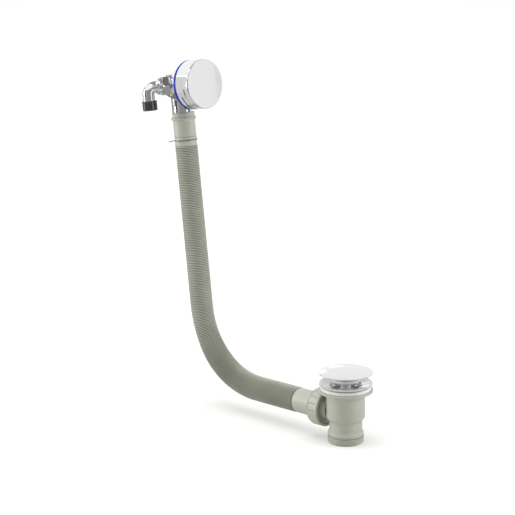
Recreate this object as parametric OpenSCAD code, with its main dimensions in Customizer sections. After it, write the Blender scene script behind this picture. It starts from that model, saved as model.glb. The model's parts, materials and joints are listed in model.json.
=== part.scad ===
// Bath filler, overflow and waste set: a chromed overflow head that also fills the bath,
// a corrugated overflow hose, and a bath waste with a push-to-open plug.
// Origin: centre of the waste outlet's end face. +Z is up, +X is the way the head faces,
// and the hose lies in the plane y = 0. Millimetres throughout.

/* [Waste body] */
// Outside diameter of the outlet thread (G 1 1/2)
outlet_thread_d = 47.8; // [40:0.1:60]
// Length of the outlet thread
outlet_thread_l = 8.6; // [6:0.1:20]
// Bore of the outlet
outlet_bore_d = 39; // [25:0.5:39]
// Outside diameter of the lower tube
lower_tube_d = 43.4; // [42:0.1:50]
// Outside diameter of the cup above it
cup_d = 50.6; // [48:0.1:60]
// Wall of the cup
cup_wall = 2.8; // [2:0.1:4]
// Height of the cup's flange above the outlet's end
cup_flange_z = 72; // [65:0.5:95]
// Diameter of the cup's flange
cup_flange_d = 72; // [68:0.5:90]
// Height of the side inlet's axis
side_inlet_z = 39.6; // [38:0.1:44]
// Diameter of the side inlet's thread (G 1 1/4)
side_thread_d = 41.9; // [40:0.1:46]
// Distance from the waste's axis to the end of the side inlet
side_inlet_reach = 46.4; // [44:0.1:60]

/* [Waste flange and seals] */
// Diameter of the flange that lies in the bath
flange_d = 70.2; // [60:0.1:85]
// Height of the flange's rim
flange_rim = 2.7; // [2:0.1:4]
// Diameter of the drain hole in the flange
drain_hole_d = 42.2; // [42:0.1:46]
// Thickness of the seal under the bath
lower_seal_h = 4.8; // [2:0.1:8]
// Thickness of the seal under the flange
upper_seal_h = 1.7; // [1.5:0.1:5]

/* [Plug] */
// Diameter of the plug's dome
dome_d = 71.8; // [60:0.1:85]
// Height of the dome's crown above its rim
dome_crown = 3.9; // [2:0.1:8]
// Wall of the dome
dome_wall = 1.6; // [1.2:0.1:3]
// Gap between the flange's top and the dome's rim when the plug stands open
dome_gap = 12.8; // [11:0.1:18]
// How far the plug drops to close
plug_travel = 9.5; // [6:0.1:10]
// Gap between the drain hole and the plug's seal
plug_seal_gap = 1.5; // [1:0.1:3]
// Diameter of the stem under the plug
stem_d = 13.7; // [12:0.1:15]

/* [Hose and its ends] */
// Diameter over the hose's ribs
hose_d = 34.4; // [30:0.1:40]
// Depth of the grooves between the ribs
rib_depth = 2.3; // [1:0.1:2.6]
// How much lower the ribs of the straight leg stand, where the hose is stretched
leg_rib_drop = 1.2; // [0:0.1:1.5]
// Distance from rib to rib
rib_pitch = 2.34; // [2:0.01:6]
// Thickness of the hose at the bottom of a groove
hose_wall = 0.8; // [0.6:0.1:1.2]
// Sides of the hose's rings
hose_sides = 14; // [8:2:16]
// Wall of the hose's plain upper end
plain_end_wall = 1.3; // [1:0.1:3]
// Length of the hose's straight leg
leg_l = 224; // [150:1:400]
// Length of the hose's plain upper end
plain_end_l = 12.3; // [8:0.1:30]
// Diameter of the smooth tail that goes into the union nut
tail_d = 33.3; // [32:0.1:34]
// Length of the smooth tail between the hose and the nut
tail_l = 30.2; // [15:0.1:60]
// Lean of the hose's straight leg away from the vertical
hose_lean = 6; // [0:0.5:12]

/* [Union nut] */
// Wall of the union nut outside its thread
nut_wall = 4.35; // [3:0.05:6]
// Length of the union nut
nut_l = 20.4; // [18:0.1:30]
// Number of grip grooves round the nut
nut_grooves = 16; // [8:2:24]
// Depth of a grip groove
nut_groove_depth = 0.7; // [0.3:0.1:1]

/* [Overflow head] */
// Diameter of the cap
cap_d = 68; // [60:0.5:85]
// Depth of the cap from the bath wall to its face
cap_depth = 23.2; // [22:0.1:40]
// Wall of the cap
cap_wall = 2.1; // [1.5:0.1:3]
// Tilt of the head's axis above the horizontal
head_tilt = 7; // [0:0.5:12]
// Thickness of the blue seal
wall_seal_h = 4; // [1.5:0.1:6]
// Distance from the outlet's axis to the front of the chromed body
body_front = 20.7; // [19:0.1:26]
// Distance from the outlet's axis to the back of the chromed body
body_back = 21; // [18:0.1:26]
// Diameter of the chromed body's front rim
body_rim_d = 62; // [58:0.5:64]
// Diameter of the chromed body's small back end
body_back_d = 30; // [28:0.5:34]
// Wall of the chromed body
body_wall = 2.6; // [2:0.1:3]
// Diameter of the outlet pipe above the hose socket
outlet_pipe_d = 29.6; // [28:0.1:30.6]
// Diameter of the outlet's spigot inside the socket
spigot_d = 25.8; // [24:0.1:26]

/* [Water inlet] */
// Angle of the inlet from straight back, towards the -Y side
inlet_swing = 60; // [50:1:70]
// Distance of the inlet's axis in front of the outlet's axis
inlet_forward = 11; // [8:0.5:12]
// Height of the inlet's axis above the head's axis
inlet_rise = 2.2; // [0:0.1:3]
// Width across the flats of the union nut on the inlet
hex_af = 25; // [24.5:0.1:28]
// Diameter of the elbow's tube
elbow_d = 17; // [15:0.1:20]
// Bore of the elbow
elbow_bore = 12; // [8:0.1:13]
// Distance from the head's axis to the elbow's down leg
elbow_reach = 53.7; // [50:0.1:75]
// Length of the elbow's down leg
elbow_drop = 31.5; // [26:0.1:60]
// Diameter of the supply thread (G 1/2)
supply_thread_d = 20.96; // [18:0.01:27]
// Length of the supply thread
supply_thread_l = 13.5; // [8:0.1:20]

/* [Hidden] */
$fn = 96;
fit = 0.1;          // radial clearance of parts that slide or screw into each other
seat = 0.3;         // clearance of soft parts and of pieces that rest side by side
eps = 0.01;         // overlap that makes a cut run clean through

pale = [0.69, 0.70, 0.64];
hose_grey = [0.55, 0.56, 0.51];
chrome = [0.86, 0.87, 0.88];
brass = [0.78, 0.66, 0.38];
steel = [0.62, 0.63, 0.65];
seal_white = [0.93, 0.93, 0.92];
seal_dark = [0.2, 0.2, 0.21];
seal_blue = [0.03, 0.15, 0.78];

// Waste, upwards from the outlet
cup_ir = cup_d / 2 - cup_wall;
shoulder_z = 34;
lower_top_z = 29.5;
lower_seal_top = cup_flange_z + lower_seal_h;
flange_under = lower_seal_top + upper_seal_h;
flange_top = flange_under + flange_rim;
drain_r = drain_hole_d / 2;
dish_depth = 3.2;
flange_slope = dish_depth / (flange_d / 2 - 1.6 - drain_r);
flange_metal = 1.7;
drain_edge_z = flange_top - dish_depth;
tail_r = cup_ir - 0.7;
seat_top_r = drain_r - 0.9;
seat_top_z = drain_edge_z - 2.2;
seat_low_r = seat_top_r - 2.3;
seat_low_z = seat_top_z - 3.8;
flange_tail_z = cup_flange_z - 8.5;
flange_flat_r = 30;
bridge_h = 4.5;
spider_z = cup_flange_z - 20;
spider_h = 8;
clamp_d = stem_d + 3.3;
insert_d = clamp_d + 5;
insert_h = 12;
insert_z = spider_z - 2;
clamp_floor = 2.8;
clamp_bottom = insert_z + 0.5;
clamp_head_z = flange_tail_z + bridge_h;
clamp_head_h = 3.5;
post_d = stem_d - 3.3;

// Plug, measured from the dome's rim
dome_rim_z = flange_top + dome_gap;
dome_rim_h = 1.2;
carrier_top = dome_rim_z + 1.2;
seal_low_z = carrier_top - 11.3;
seal_h = 4;
plug_seal_r = drain_r - plug_seal_gap;
stem_low_z = clamp_bottom + clamp_floor + plug_travel + 0.7;
stem_ceiling_z = carrier_top - 5;
stud_r = 4;
post_top_z = stem_ceiling_z - plug_travel - 2.5;
spring_low_z = clamp_bottom + clamp_floor + 3.3;

// Hose route in the plane y = 0: a leaning straight leg, one bend, a level run
leg_dir = [sin(hose_lean), -cos(hose_lean)];
bend_start = [-263.3856, 142.0271];
hose_top = bend_start - leg_l * leg_dir;
tail_nut_x = -side_inlet_reach - 4;
hose_end_x = tail_nut_x - tail_l;
bend_end_x = -155;
bend_lead = 59;
bend_run = 62;
hose_r = hose_d / 2;
groove_r = hose_r - rib_depth;
hose_bore_r = groove_r - hose_wall;
plain_end_r = hose_bore_r + plain_end_wall;
nut_r = side_thread_d / 2 + nut_wall;
bend_end = [bend_end_x, side_inlet_z];
bend_steps = 60;
function bezier(t) =
    pow(1 - t, 3) * bend_start
    + 3 * pow(1 - t, 2) * t * (bend_start + bend_lead * leg_dir)
    + 3 * (1 - t) * t * t * (bend_end - [bend_run, 0])
    + pow(t, 3) * bend_end;
function running_length(points, i = 0, so_far = 0, list = []) =
    i == len(points) ? list
    : let(step = i == 0 ? 0 : norm(points[i] - points[i - 1]))
      running_length(points, i + 1, so_far + step, concat(list, [so_far + step]));
bend_points = [for (i = [0 : bend_steps]) bezier(i / bend_steps)];
bend_lengths = running_length(bend_points);
bend_l = bend_lengths[bend_steps];
bend_table = [for (i = [0 : bend_steps]) [bend_lengths[i], i / bend_steps]];
hose_l = leg_l + bend_l + hose_end_x - bend_end_x;
function route(s) =
    s <= leg_l ? hose_top + s * leg_dir
    : s >= leg_l + bend_l ? bend_end + [s - leg_l - bend_l, 0]
    : bezier(lookup(s - leg_l, bend_table));
function heading(s) =
    let(ahead = route(s + 0.5), back = route(s - 0.5)) (ahead - back) / norm(ahead - back);
function ease(t) = t <= 0 ? 0 : t >= 1 ? 1 : t * t * (3 - 2 * t);
function crest_r(s) = hose_r - leg_rib_drop * (1 - ease((s - leg_l) / (0.6 * bend_l)));

// Socket and outlet pipe, measured up the leaning axis from the hose's first rib
socket_l = 46.2;
socket_r = plain_end_r;
socket_bead_w = 38;
spigot_low_w = 15.5;
hose_spigot_l = 18;
hub_w = 83.2;
socket_gap = 0.3;
ring_groove = 1.8;

// Head, measured along its axis from the outlet's axis
seal_front = body_front + wall_seal_h;
cap_back = seal_front + 0.2;
cap_face = cap_back + cap_depth;
cap_r = cap_d / 2;
cap_ir = cap_r - cap_wall;
slot_w = 1.9;
slot_from = cap_back + 6.4;
recess_from = cap_back + 13.6;
recess_w = 7.1;
recess_depth = 1.2;
recess_start = 7;
slot_start = 25;
cap_ring_x = seal_front + 4.4;
screw_y = 21;

// Water inlet, measured along its own axis from the head's axis
boss_end = 25.7;
tail_flange_s = 28.6;
nut_from = 26;
nut_to = 35;
tail_tube_r = 6.8;
tail_flange_r = 9.6;
inlet_thread_r = 10;
washer_h = 1.4;

// Places children at the hose's first rib, Z up its leaning axis
module up_hose_axis(w = 0) {
    translate([hose_top[0], 0, hose_top[1]]) rotate([0, -hose_lean, 0]) translate([0, 0, w]) children();
}

// Places children in the head's frame: X along its axis, towards the bath
module at_head() {
    up_hose_axis(hub_w) rotate([0, hose_lean - head_tilt, 0]) children();
}

// Turns children so that their Z runs along the head's axis
module along_head(x = 0) {
    at_head() translate([x, 0, 0]) rotate([0, 90, 0]) children();
}

// Places children on the inlet's axis, Z pointing out of the head
module along_inlet(s = 0) {
    at_head() translate([inlet_forward, 0, inlet_rise]) rotate([0, 0, 180 + inlet_swing])
        translate([s, 0, 0]) rotate([0, 90, 0]) children();
}

// Places children on the elbow's down leg, Z pointing down the leg
module down_elbow(t = 0) {
    along_inlet(elbow_reach) rotate([0, 90, 0]) translate([0, 0, t]) children();
}

// Places children on the side inlet's axis, Z pointing away from the waste
module along_side(d = 0) {
    translate([0, 0, side_inlet_z]) rotate([0, -90, 0]) translate([0, 0, d]) children();
}

module ring(r_out, r_in, h, z = 0) {
    translate([0, 0, z]) rotate_extrude() translate([r_in, 0]) square([r_out - r_in, h]);
}

module torus(ring_r, wire_r, z = 0) {
    translate([0, 0, z]) rotate_extrude() translate([ring_r, 0]) circle(r = wire_r, $fn = 24);
}

// Four arms of a spider from its boss out to a wall
module arms(r_from, r_to, width, h, z) {
    for (a = [45 : 90 : 315]) rotate([0, 0, a]) translate([r_from, -width / 2, z])
        cube([r_to - r_from, width, h]);
}

// Cup with its flange, outlet thread, side inlet and the spider that holds the insert
module waste_body() {
    thread_r = outlet_thread_d / 2;
    bead_z = outlet_thread_l + 1.4;
    neck_r = 15;
    neck_bore = 12.5;
    collar_from = side_inlet_reach - 11.4;
    collar_bore_from = side_inlet_reach - 10.4;
    mouth_r = side_thread_d / 2 - 1.4;
    color(pale) {
        difference() {
            union() {
                rotate_extrude() polygon([
                    [0, 0], [thread_r - 2.1, 0], [thread_r, 1.6], [thread_r, outlet_thread_l],
                    [thread_r - 1.1, outlet_thread_l], [thread_r - 1.1, bead_z],
                    [thread_r - 0.7, bead_z + 0.6], [thread_r - 0.2, bead_z + 1.8],
                    [thread_r - 0.2, bead_z + 3.6], [thread_r - 0.8, bead_z + 5.2],
                    [lower_tube_d / 2, bead_z + 6.4], [lower_tube_d / 2, lower_top_z],
                    [cup_d / 2, shoulder_z],
                    [cup_d / 2, cup_flange_z - 9], [cup_d / 2 + 0.4, cup_flange_z - 8.7],
                    [cup_d / 2 + 0.4, cup_flange_z - 4], [cup_d / 2 + 1.6, cup_flange_z - 3],
                    [cup_flange_d / 2 - 0.6, cup_flange_z - 3], [cup_flange_d / 2, cup_flange_z - 2.4],
                    [cup_flange_d / 2, cup_flange_z - 0.5], [cup_flange_d / 2 - 0.5, cup_flange_z],
                    [0, cup_flange_z]
                ]);
                along_side() cylinder(r = neck_r, h = side_inlet_reach - 1);
                along_side(collar_from) cylinder(d = side_thread_d, h = side_inlet_reach - collar_from);
            }
            rotate_extrude() polygon([
                [0, -eps], [outlet_bore_d / 2, -eps], [outlet_bore_d / 2, lower_top_z],
                [cup_ir, shoulder_z + 0.6], [cup_ir, cup_flange_z + eps], [0, cup_flange_z + eps]
            ]);
            along_side() cylinder(r = neck_bore, h = side_inlet_reach + 1);
            along_side(collar_bore_from) cylinder(r = tail_d / 2 + fit + 0.1, h = side_inlet_reach);
            along_side(side_inlet_reach - 3)
                cylinder(r1 = tail_d / 2 + 0.2, r2 = mouth_r, h = 3 + eps);
        }
        difference() {
            union() {
                translate([0, 0, insert_z]) cylinder(r = insert_d / 2 + 2.4, h = insert_h);
                arms(insert_d / 2 + 1, cup_ir + 0.5, 3.2, spider_h, spider_z);
            }
            translate([0, 0, insert_z - 1]) cylinder(r = insert_d / 2, h = insert_h + 2);
        }
    }
}

// Brass thread that is moulded into the spider
module spider_insert() {
    color(brass) difference() {
        translate([0, 0, insert_z]) cylinder(r = insert_d / 2 - 0.02, h = insert_h);
        translate([0, 0, insert_z - 1]) cylinder(r = clamp_d / 2 + 0.05, h = insert_h + 2);
    }
}

// White seal between the cup's flange and the bath
module lower_seal() {
    seal_r = flange_d / 2 - 1.8;
    inner_r = tail_r + 2.6;
    color(seal_white) rotate_extrude() polygon([
        [inner_r, cup_flange_z], [seal_r - 0.6, cup_flange_z], [seal_r, cup_flange_z + 0.8],
        [seal_r, lower_seal_top - 0.8], [seal_r - 0.8, lower_seal_top], [inner_r, lower_seal_top]
    ]);
}

// Dark seal under the flange, its inner part follows the flange's dished underside
module upper_seal() {
    inner_r = tail_r + 4;
    outer_r = flange_d / 2 - 2.6;
    dish_under = drain_edge_z + (inner_r - drain_r) * flange_slope - flange_metal - 0.15;
    color(seal_dark) rotate_extrude() polygon([
        [inner_r, lower_seal_top], [outer_r, lower_seal_top], [outer_r, flange_under],
        [max(flange_flat_r, inner_r) + 0.3, flange_under], [inner_r, min(dish_under, flange_under)]
    ]);
}

// Dished flange with its conical plug seat, tail and bridge
module waste_flange() {
    rim_r = flange_d / 2;
    boss_r = clamp_d / 2 + 4;
    color(chrome) {
        rotate_extrude() polygon([
            [seat_low_r, flange_tail_z], [tail_r, flange_tail_z],
            [tail_r, drain_edge_z - flange_metal - 0.6],
            [drain_r + 1.6, drain_edge_z - flange_metal + 0.3],
            [flange_flat_r, flange_under], [rim_r - 0.8, flange_under], [rim_r, flange_under + 0.8],
            [rim_r, flange_top - 0.9], [rim_r - 0.3, flange_top - 0.25], [rim_r - 0.9, flange_top],
            [rim_r - 1.6, flange_top], [drain_r + 0.5, drain_edge_z + 0.1], [drain_r, drain_edge_z - 0.3],
            [seat_top_r, seat_top_z], [seat_low_r, seat_low_z]
        ]);
        difference() {
            union() {
                translate([0, 0, flange_tail_z]) cylinder(r = boss_r, h = bridge_h);
                arms(boss_r - 1, seat_low_r + 0.8, 3, bridge_h, flange_tail_z);
            }
            translate([0, 0, flange_tail_z - 1]) cylinder(r = clamp_d / 2 + fit, h = bridge_h + 2);
        }
    }
}

// Hollow screw that pulls the flange and the cup together, with slots for its key
module clamp_screw() {
    head_r = clamp_d / 2 + 2.5;
    color(brass) difference() {
        union() {
            translate([0, 0, clamp_bottom]) cylinder(r = clamp_d / 2, h = clamp_head_z - clamp_bottom + 0.5);
            translate([0, 0, clamp_head_z]) cylinder(r = head_r, h = clamp_head_h);
        }
        translate([0, 0, clamp_bottom + clamp_floor]) cylinder(r = stem_d / 2 + fit, h = 60);
        translate([0, 0, clamp_bottom - 1]) cylinder(r = stud_r, h = clamp_floor + 2);
        translate([-head_r - 1, -1.5, clamp_head_z + clamp_head_h - 2]) cube([2 * head_r + 2, 3, 3]);
    }
}

// Fixed hollow post that the plug's stem slides on; the spring stands inside it
module click_post() {
    post_z = clamp_bottom + clamp_floor;
    color(steel) difference() {
        union() {
            translate([0, 0, clamp_bottom]) cylinder(r = stud_r - 0.02, h = clamp_floor + 1);
            translate([0, 0, post_z]) cylinder(r = post_d / 2, h = post_top_z - post_z);
        }
        translate([0, 0, spring_low_z - seat]) cylinder(r = post_d / 2 - 1.2, h = 60);
    }
}

// Coil spring that lifts the plug
module return_spring() {
    wire_r = 0.5;
    coil_r = post_d / 2 - 1.2 - wire_r - 0.2;
    coil_h = stem_ceiling_z - 0.3 - spring_low_z - 2 * wire_r;
    turns = 8;
    steps = 14;
    sides = 6;
    count = turns * steps;
    points = [for (i = [0 : count]) let(a = 360 * i / steps, z = spring_low_z + wire_r + coil_h * i / count)
        for (j = [0 : sides - 1]) let(b = 360 * j / sides, r = coil_r + wire_r * cos(b))
            [r * cos(a), r * sin(a), z + wire_r * sin(b)]];
    walls = [for (i = [0 : count - 1], j = [0 : sides - 1]) let(k = (j + 1) % sides)
        [i * sides + j, i * sides + k, (i + 1) * sides + k, (i + 1) * sides + j]];
    first = [for (j = [sides - 1 : -1 : 0]) j];
    last = [for (j = [0 : sides - 1]) count * sides + j];
    color(steel) polyhedron(points, concat(walls, [first, last]), convexity = 10);
}

// Chromed stem that carries the plug and slides over the post
module stem_sleeve() {
    color(chrome) difference() {
        union() {
            translate([0, 0, stem_low_z]) cylinder(r = stem_d / 2, h = stem_ceiling_z + 1.6 - stem_low_z);
            translate([0, 0, stem_ceiling_z]) cylinder(r = stud_r, h = carrier_top + 1.4 - stem_ceiling_z);
        }
        translate([0, 0, stem_low_z - 1]) cylinder(r = post_d / 2 + fit, h = stem_ceiling_z - stem_low_z + 1);
    }
}

// Moulded carrier between the stem and the dome; the seal sits in its groove
module plug_carrier() {
    body_r = plug_seal_r - 2.8;
    lip_r = plug_seal_r - 1.6;
    stem_top = stem_ceiling_z + 1.6;
    color(chrome) rotate_extrude() polygon([
        [stem_d / 2 + 0.06, seal_low_z - 0.9], [lip_r - 0.5, seal_low_z - 0.9], [lip_r, seal_low_z - 0.5],
        [lip_r, seal_low_z], [body_r, seal_low_z], [body_r, carrier_top], [stud_r + 0.06, carrier_top],
        [stud_r + 0.06, stem_top], [stem_d / 2 + 0.06, stem_top]
    ]);
}

// Rubber ring that closes the drain
module plug_seal() {
    r = plug_seal_r;
    inner_r = r - 2.77;
    color(seal_white) translate([0, 0, seal_low_z]) rotate_extrude() polygon(concat(
        [[inner_r, 0]],
        [for (a = [-90 : 15 : 0]) [r - 1.4 + 1.4 * cos(a), 1.4 + 1.4 * sin(a)]],
        [for (a = [0 : 30 : 90]) [r - 0.6 + 0.6 * cos(a), seal_h - 0.6 + 0.6 * sin(a)]],
        [[inner_r, seal_h]]
    ));
}

// Shallow chromed dome with a rolled rim and a boss for the stem's stud
module plug_dome() {
    r = dome_d / 2;
    sphere_r = (r * r + dome_crown * dome_crown) / (2 * dome_crown);
    crown_base = dome_rim_z + dome_rim_h;
    centre_z = crown_base + dome_crown - sphere_r;
    color(chrome) rotate_extrude() polygon(concat(
        [[stud_r + 0.06, carrier_top], [9, carrier_top]],
        [for (i = [0 : 8]) let(x = 9 + (r - 2.4 - 9) * i / 8, inner = sphere_r - dome_wall)
            [x, centre_z + sqrt(inner * inner - x * x)]],
        [[r - 1.8, dome_rim_z + 0.1], [r - 1.1, dome_rim_z], [r - 0.3, dome_rim_z + 0.25],
         [r, dome_rim_z + 0.7], [r - 0.1, crown_base - 0.1]],
        [for (i = [0 : 12]) let(x = (r - 0.9) * (12 - i) / 12)
            [x, centre_z + sqrt(sphere_r * sphere_r - x * x)]],
        [[0, carrier_top + 1.6], [stud_r + 0.06, carrier_top + 1.6]]
    ));
}

// Grooved union nut on the side inlet
module union_nut() {
    r = nut_r;
    back = -tail_nut_x;
    front = back - nut_l;
    thread_bore_r = side_thread_d / 2 + 0.15;
    color(pale) along_side() difference() {
        rotate_extrude() polygon([
            [tail_d / 2 + 0.35, back - 2.2], [tail_d / 2 + 0.35, back], [r - 4.6, back],
            [r - 0.4, back - 4.2], [r, back - 4.8], [r, front + 0.9], [r - 0.6, front],
            [thread_bore_r + 1, front], [thread_bore_r + 1, front + 4.6], [thread_bore_r, front + 5.2],
            [thread_bore_r, back - 2.2]
        ]);
        for (i = [0 : nut_grooves - 1]) rotate([0, 0, 360 * i / nut_grooves])
            translate([r - nut_groove_depth, -0.7, front + 2.2]) cube([3, 1.4, nut_l - 8.6]);
    }
}

// Rubber cone that the nut presses into the side inlet's mouth
module taper_seal() {
    back = -tail_nut_x - 3.4;
    inner_r = tail_d / 2 + 0.1;
    outer_r = side_thread_d / 2 - 1.6;
    slope = (side_thread_d / 2 - 1.4 - tail_d / 2 - 0.2) / 3;
    nose = side_inlet_reach - 2.2;
    nose_r = tail_d / 2 + 0.2 + slope * (nose - side_inlet_reach + 3) - 0.1;
    color(seal_dark) along_side() rotate_extrude() polygon([
        [inner_r, nose], [nose_r, nose], [outer_r - 0.1, side_inlet_reach], [outer_r - 0.1, back],
        [inner_r, back]
    ]);
}

// Flat washer between the rubber cone and the nut's back wall
module slip_washer() {
    back = -tail_nut_x - 2.3;
    color(seal_white) along_side() ring(side_thread_d / 2 - 0.6, tail_d / 2 + 0.15, 1, back - 1);
}

// Smooth tail: one end inside the hose, the other in the side inlet
module hose_tail() {
    deep = side_inlet_reach - 10;
    from_axis = -hose_end_x;
    spigot_r = hose_bore_r * cos(180 / hose_sides) - 0.15;
    bore_r = spigot_r - 1.6;
    color(pale) along_side() rotate_extrude() polygon([
        [bore_r, deep], [tail_d / 2 - 0.6, deep], [tail_d / 2, deep + 1], [tail_d / 2, from_axis - 0.6],
        [tail_d / 2 - 0.6, from_axis], [spigot_r, from_axis], [spigot_r, from_axis + hose_spigot_l - 1.5],
        [spigot_r - 0.8, from_axis + hose_spigot_l], [bore_r, from_axis + hose_spigot_l]
    ]);
}

// Corrugated hose, one hollow sweep: plain upper end, ribs, cut lower end
module overflow_hose() {
    rib_end = hose_l - 0.2;
    ribs = floor(rib_end / rib_pitch);
    rest_l = rib_end - ribs * rib_pitch;
    last_s = rib_end + 0.15;
    bend_rings = 14;
    outer = concat(
        [[-plain_end_l, plain_end_r], [0, plain_end_r]],
        [for (i = [0 : ribs - 1]) each [
            [(i + 0.3) * rib_pitch, groove_r],
            [(i + 0.8) * rib_pitch, crest_r((i + 0.8) * rib_pitch)]]],
        [[rib_end - rest_l / 2 + 0.1, groove_r], [last_s, hose_r - 0.4]]
    );
    bore_s = concat([-plain_end_l], [for (i = [0 : bend_rings]) leg_l + bend_l * i / bend_rings], [last_s]);
    inner = [for (i = [len(bore_s) - 1 : -1 : 0]) [bore_s[i], hose_bore_r]];
    loop = concat(outer, inner);
    points = [for (p = loop) let(c = route(p[0]), h = heading(p[0]))
        for (j = [0 : hose_sides - 1]) let(a = 360 * (j + 0.5) / hose_sides, u = p[1] * cos(a))
            [c[0] - u * h[1], p[1] * sin(a), c[1] + u * h[0]]];
    faces = [for (i = [0 : len(loop) - 1], j = [0 : hose_sides - 1])
        let(k = (j + 1) % hose_sides, m = (i + 1) % len(loop))
        [i * hose_sides + j, m * hose_sides + j, m * hose_sides + k, i * hose_sides + k]];
    color(hose_grey) polyhedron(points, faces, convexity = 10);
}

// Socket that joins the hose to the head's outlet
module hose_socket() {
    bore_r = spigot_d / 2 + 0.15;
    inner_tail_r = hose_bore_r * cos(180 / hose_sides) - 0.15;
    low_bore = min(inner_tail_r - 2, spigot_d / 2 - 1);
    rim_r = socket_r + 0.2;
    color(pale) up_hose_axis() rotate_extrude() polygon(concat(
        [[low_bore, -hose_spigot_l], [inner_tail_r - 0.8, -hose_spigot_l],
         [inner_tail_r, -hose_spigot_l + 1.5], [inner_tail_r, plain_end_l + 0.2],
         [socket_r, plain_end_l + 0.2],
         [socket_r, 30.8], [socket_r - 0.25, 31.1], [socket_r, 31.4], [socket_r, socket_bead_w - 2.4]],
        [for (a = [-75 : 25 : 75]) [socket_r - 0.3 + 2.4 * cos(a), socket_bead_w + 2.4 * sin(a)]],
        [[rim_r, socket_bead_w + 2.6], [rim_r, socket_l - 0.4], [rim_r - 0.4, socket_l], [bore_r, socket_l],
         [bore_r, spigot_low_w - 1], [low_bore, spigot_low_w - 1]]
    ));
}

// Spring wire clip round the hose's plain end, one end stands out as a tail
module wire_clip() {
    wire_r = 0.6;
    clip_r = plain_end_r + wire_r + 0.1;
    gap = 16;
    tail_at = 222;
    color(steel) up_hose_axis(8.1) {
        rotate_extrude(angle = 360 - gap, start = tail_at + gap) translate([clip_r, 0])
            circle(r = wire_r, $fn = 24);
        rotate([0, 0, tail_at + gap]) translate([clip_r, 0, 0]) rotate([96, 0, 52]) {
            cylinder(r = wire_r, h = 9);
            sphere(r = wire_r + 0.04, $fn = 24);
        }
    }
}

// Rubber ring in the spigot's groove
module outlet_ring() {
    color(seal_dark) up_hose_axis() torus(spigot_d / 2 - 0.75, 0.8, socket_bead_w);
}

// Chromed body behind the bath wall: bell, outlet pipe and inlet boss
module head_body() {
    rim_r = body_rim_d / 2;
    back_r = body_back_d / 2;
    rim_l = 3;
    mouth_r = rim_r - body_wall - 1.4;
    pipe_low = socket_l + socket_gap;
    spigot_bore = spigot_d / 2 - 2.4;
    duct_r = 9.2;
    boss_r = 11.2;
    nut_clear_r = hex_af / sqrt(3) + 0.6;
    color(chrome) difference() {
        union() {
            difference() {
                union() {
                    along_head() rotate_extrude() polygon([
                        [0, -body_back], [back_r - 2, -body_back], [back_r - 0.6, -body_back + 0.6],
                        [back_r, -body_back + 2], [rim_r - 0.4, body_front - rim_l],
                        [rim_r, body_front - rim_l + 0.4], [rim_r, body_front - 0.4],
                        [rim_r - 0.4, body_front], [0, body_front]
                    ]);
                    up_hose_axis(pipe_low) cylinder(d = outlet_pipe_d, h = hub_w - pipe_low);
                    up_hose_axis(spigot_low_w) cylinder(d = spigot_d, h = 40);
                }
                along_head() rotate_extrude() polygon([
                    [0, -body_back + body_wall], [back_r - body_wall - 0.6, -body_back + body_wall],
                    [mouth_r, body_front - rim_l], [mouth_r, body_front + eps], [0, body_front + eps]
                ]);
                up_hose_axis(spigot_low_w - 1) cylinder(r = spigot_bore, h = hub_w - spigot_low_w);
                up_hose_axis() ring(spigot_d / 2 + 1, spigot_d / 2 - ring_groove + 0.2, 2, socket_bead_w - 1);
            }
            along_inlet() cylinder(r = duct_r, h = boss_end);
            along_inlet(boss_end - 9) cylinder(r = nut_clear_r, h = 9);
            along_head(0) cylinder(r = boss_r, h = 18);
            for (y = [-1, 1]) at_head() translate([4, y * screw_y, 0]) rotate([0, 90, 0])
                cylinder(r = 4.4, h = body_front - 4.5);
        }
        along_inlet(boss_end) cylinder(r = nut_clear_r, h = 20);
        along_inlet() cylinder(r = 5, h = boss_end + 1);
        along_inlet(14) cylinder(r = tail_tube_r + 0.05, h = boss_end);
        along_head(6) cylinder(r = 8.02, h = 20);
        along_head(2) cylinder(r = 5, h = 10);
        for (y = [-1, 1]) at_head() translate([6, y * screw_y, 0]) rotate([0, 90, 0])
            cylinder(r = 2.52, h = 20);
    }
}

// Blue seal between the chromed body and the cap
module wall_seal() {
    color(seal_blue) along_head(body_front) rotate_extrude() polygon([
        [25.5, 0], [cap_r - 0.5, 0], [cap_r, 0.5], [cap_r, wall_seal_h - 0.5], [cap_r - 0.5, wall_seal_h],
        [25.5, wall_seal_h]
    ]);
}

// Plate that is screwed to the chromed body; the cap pushes onto its rim
module cap_carrier() {
    plate_h = 3;
    rim_h = 6.3;
    r = cap_ir - 0.5;
    color(pale) difference() {
        union() {
            along_head(seal_front) cylinder(r = r, h = plate_h);
            along_head(seal_front) ring(r, r - 3, rim_h);
        }
        along_head(seal_front - 1) cylinder(r = 8.2, h = plate_h + 2);
        along_head(cap_ring_x - 1) ring(r + 1, r - 1.5, 2);
        for (y = [-1, 1]) along_head(seal_front - 1) translate([0, y * screw_y, 0])
            cylinder(r = 2.7, h = plate_h + 2);
        for (side = [0, 180]) along_head(seal_front - 1) rotate([0, 0, side])
            rotate_extrude(angle = 104, start = -52) translate([12, 0]) square([11, plate_h + 2]);
    }
}

// Two screws that hold the plate
module carrier_screws() {
    color(steel) for (y = [-1, 1]) at_head() translate([0, y * screw_y, 0]) rotate([0, 90, 0])
        difference() {
            union() {
                translate([0, 0, 8]) cylinder(r = 2.5, h = seal_front + 3 - 8 + eps);
                translate([0, 0, seal_front + 3]) cylinder(r1 = 4.6, r2 = 3.6, h = 2.4);
            }
            translate([0, 0, seal_front + 4]) cylinder(r = 1.7, h = 3, $fn = 6);
        }
}

// Rubber ring that grips the cap
module cap_ring() {
    color(seal_dark) along_head() torus(cap_ir - 0.95, 0.9, cap_ring_x);
}

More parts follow.
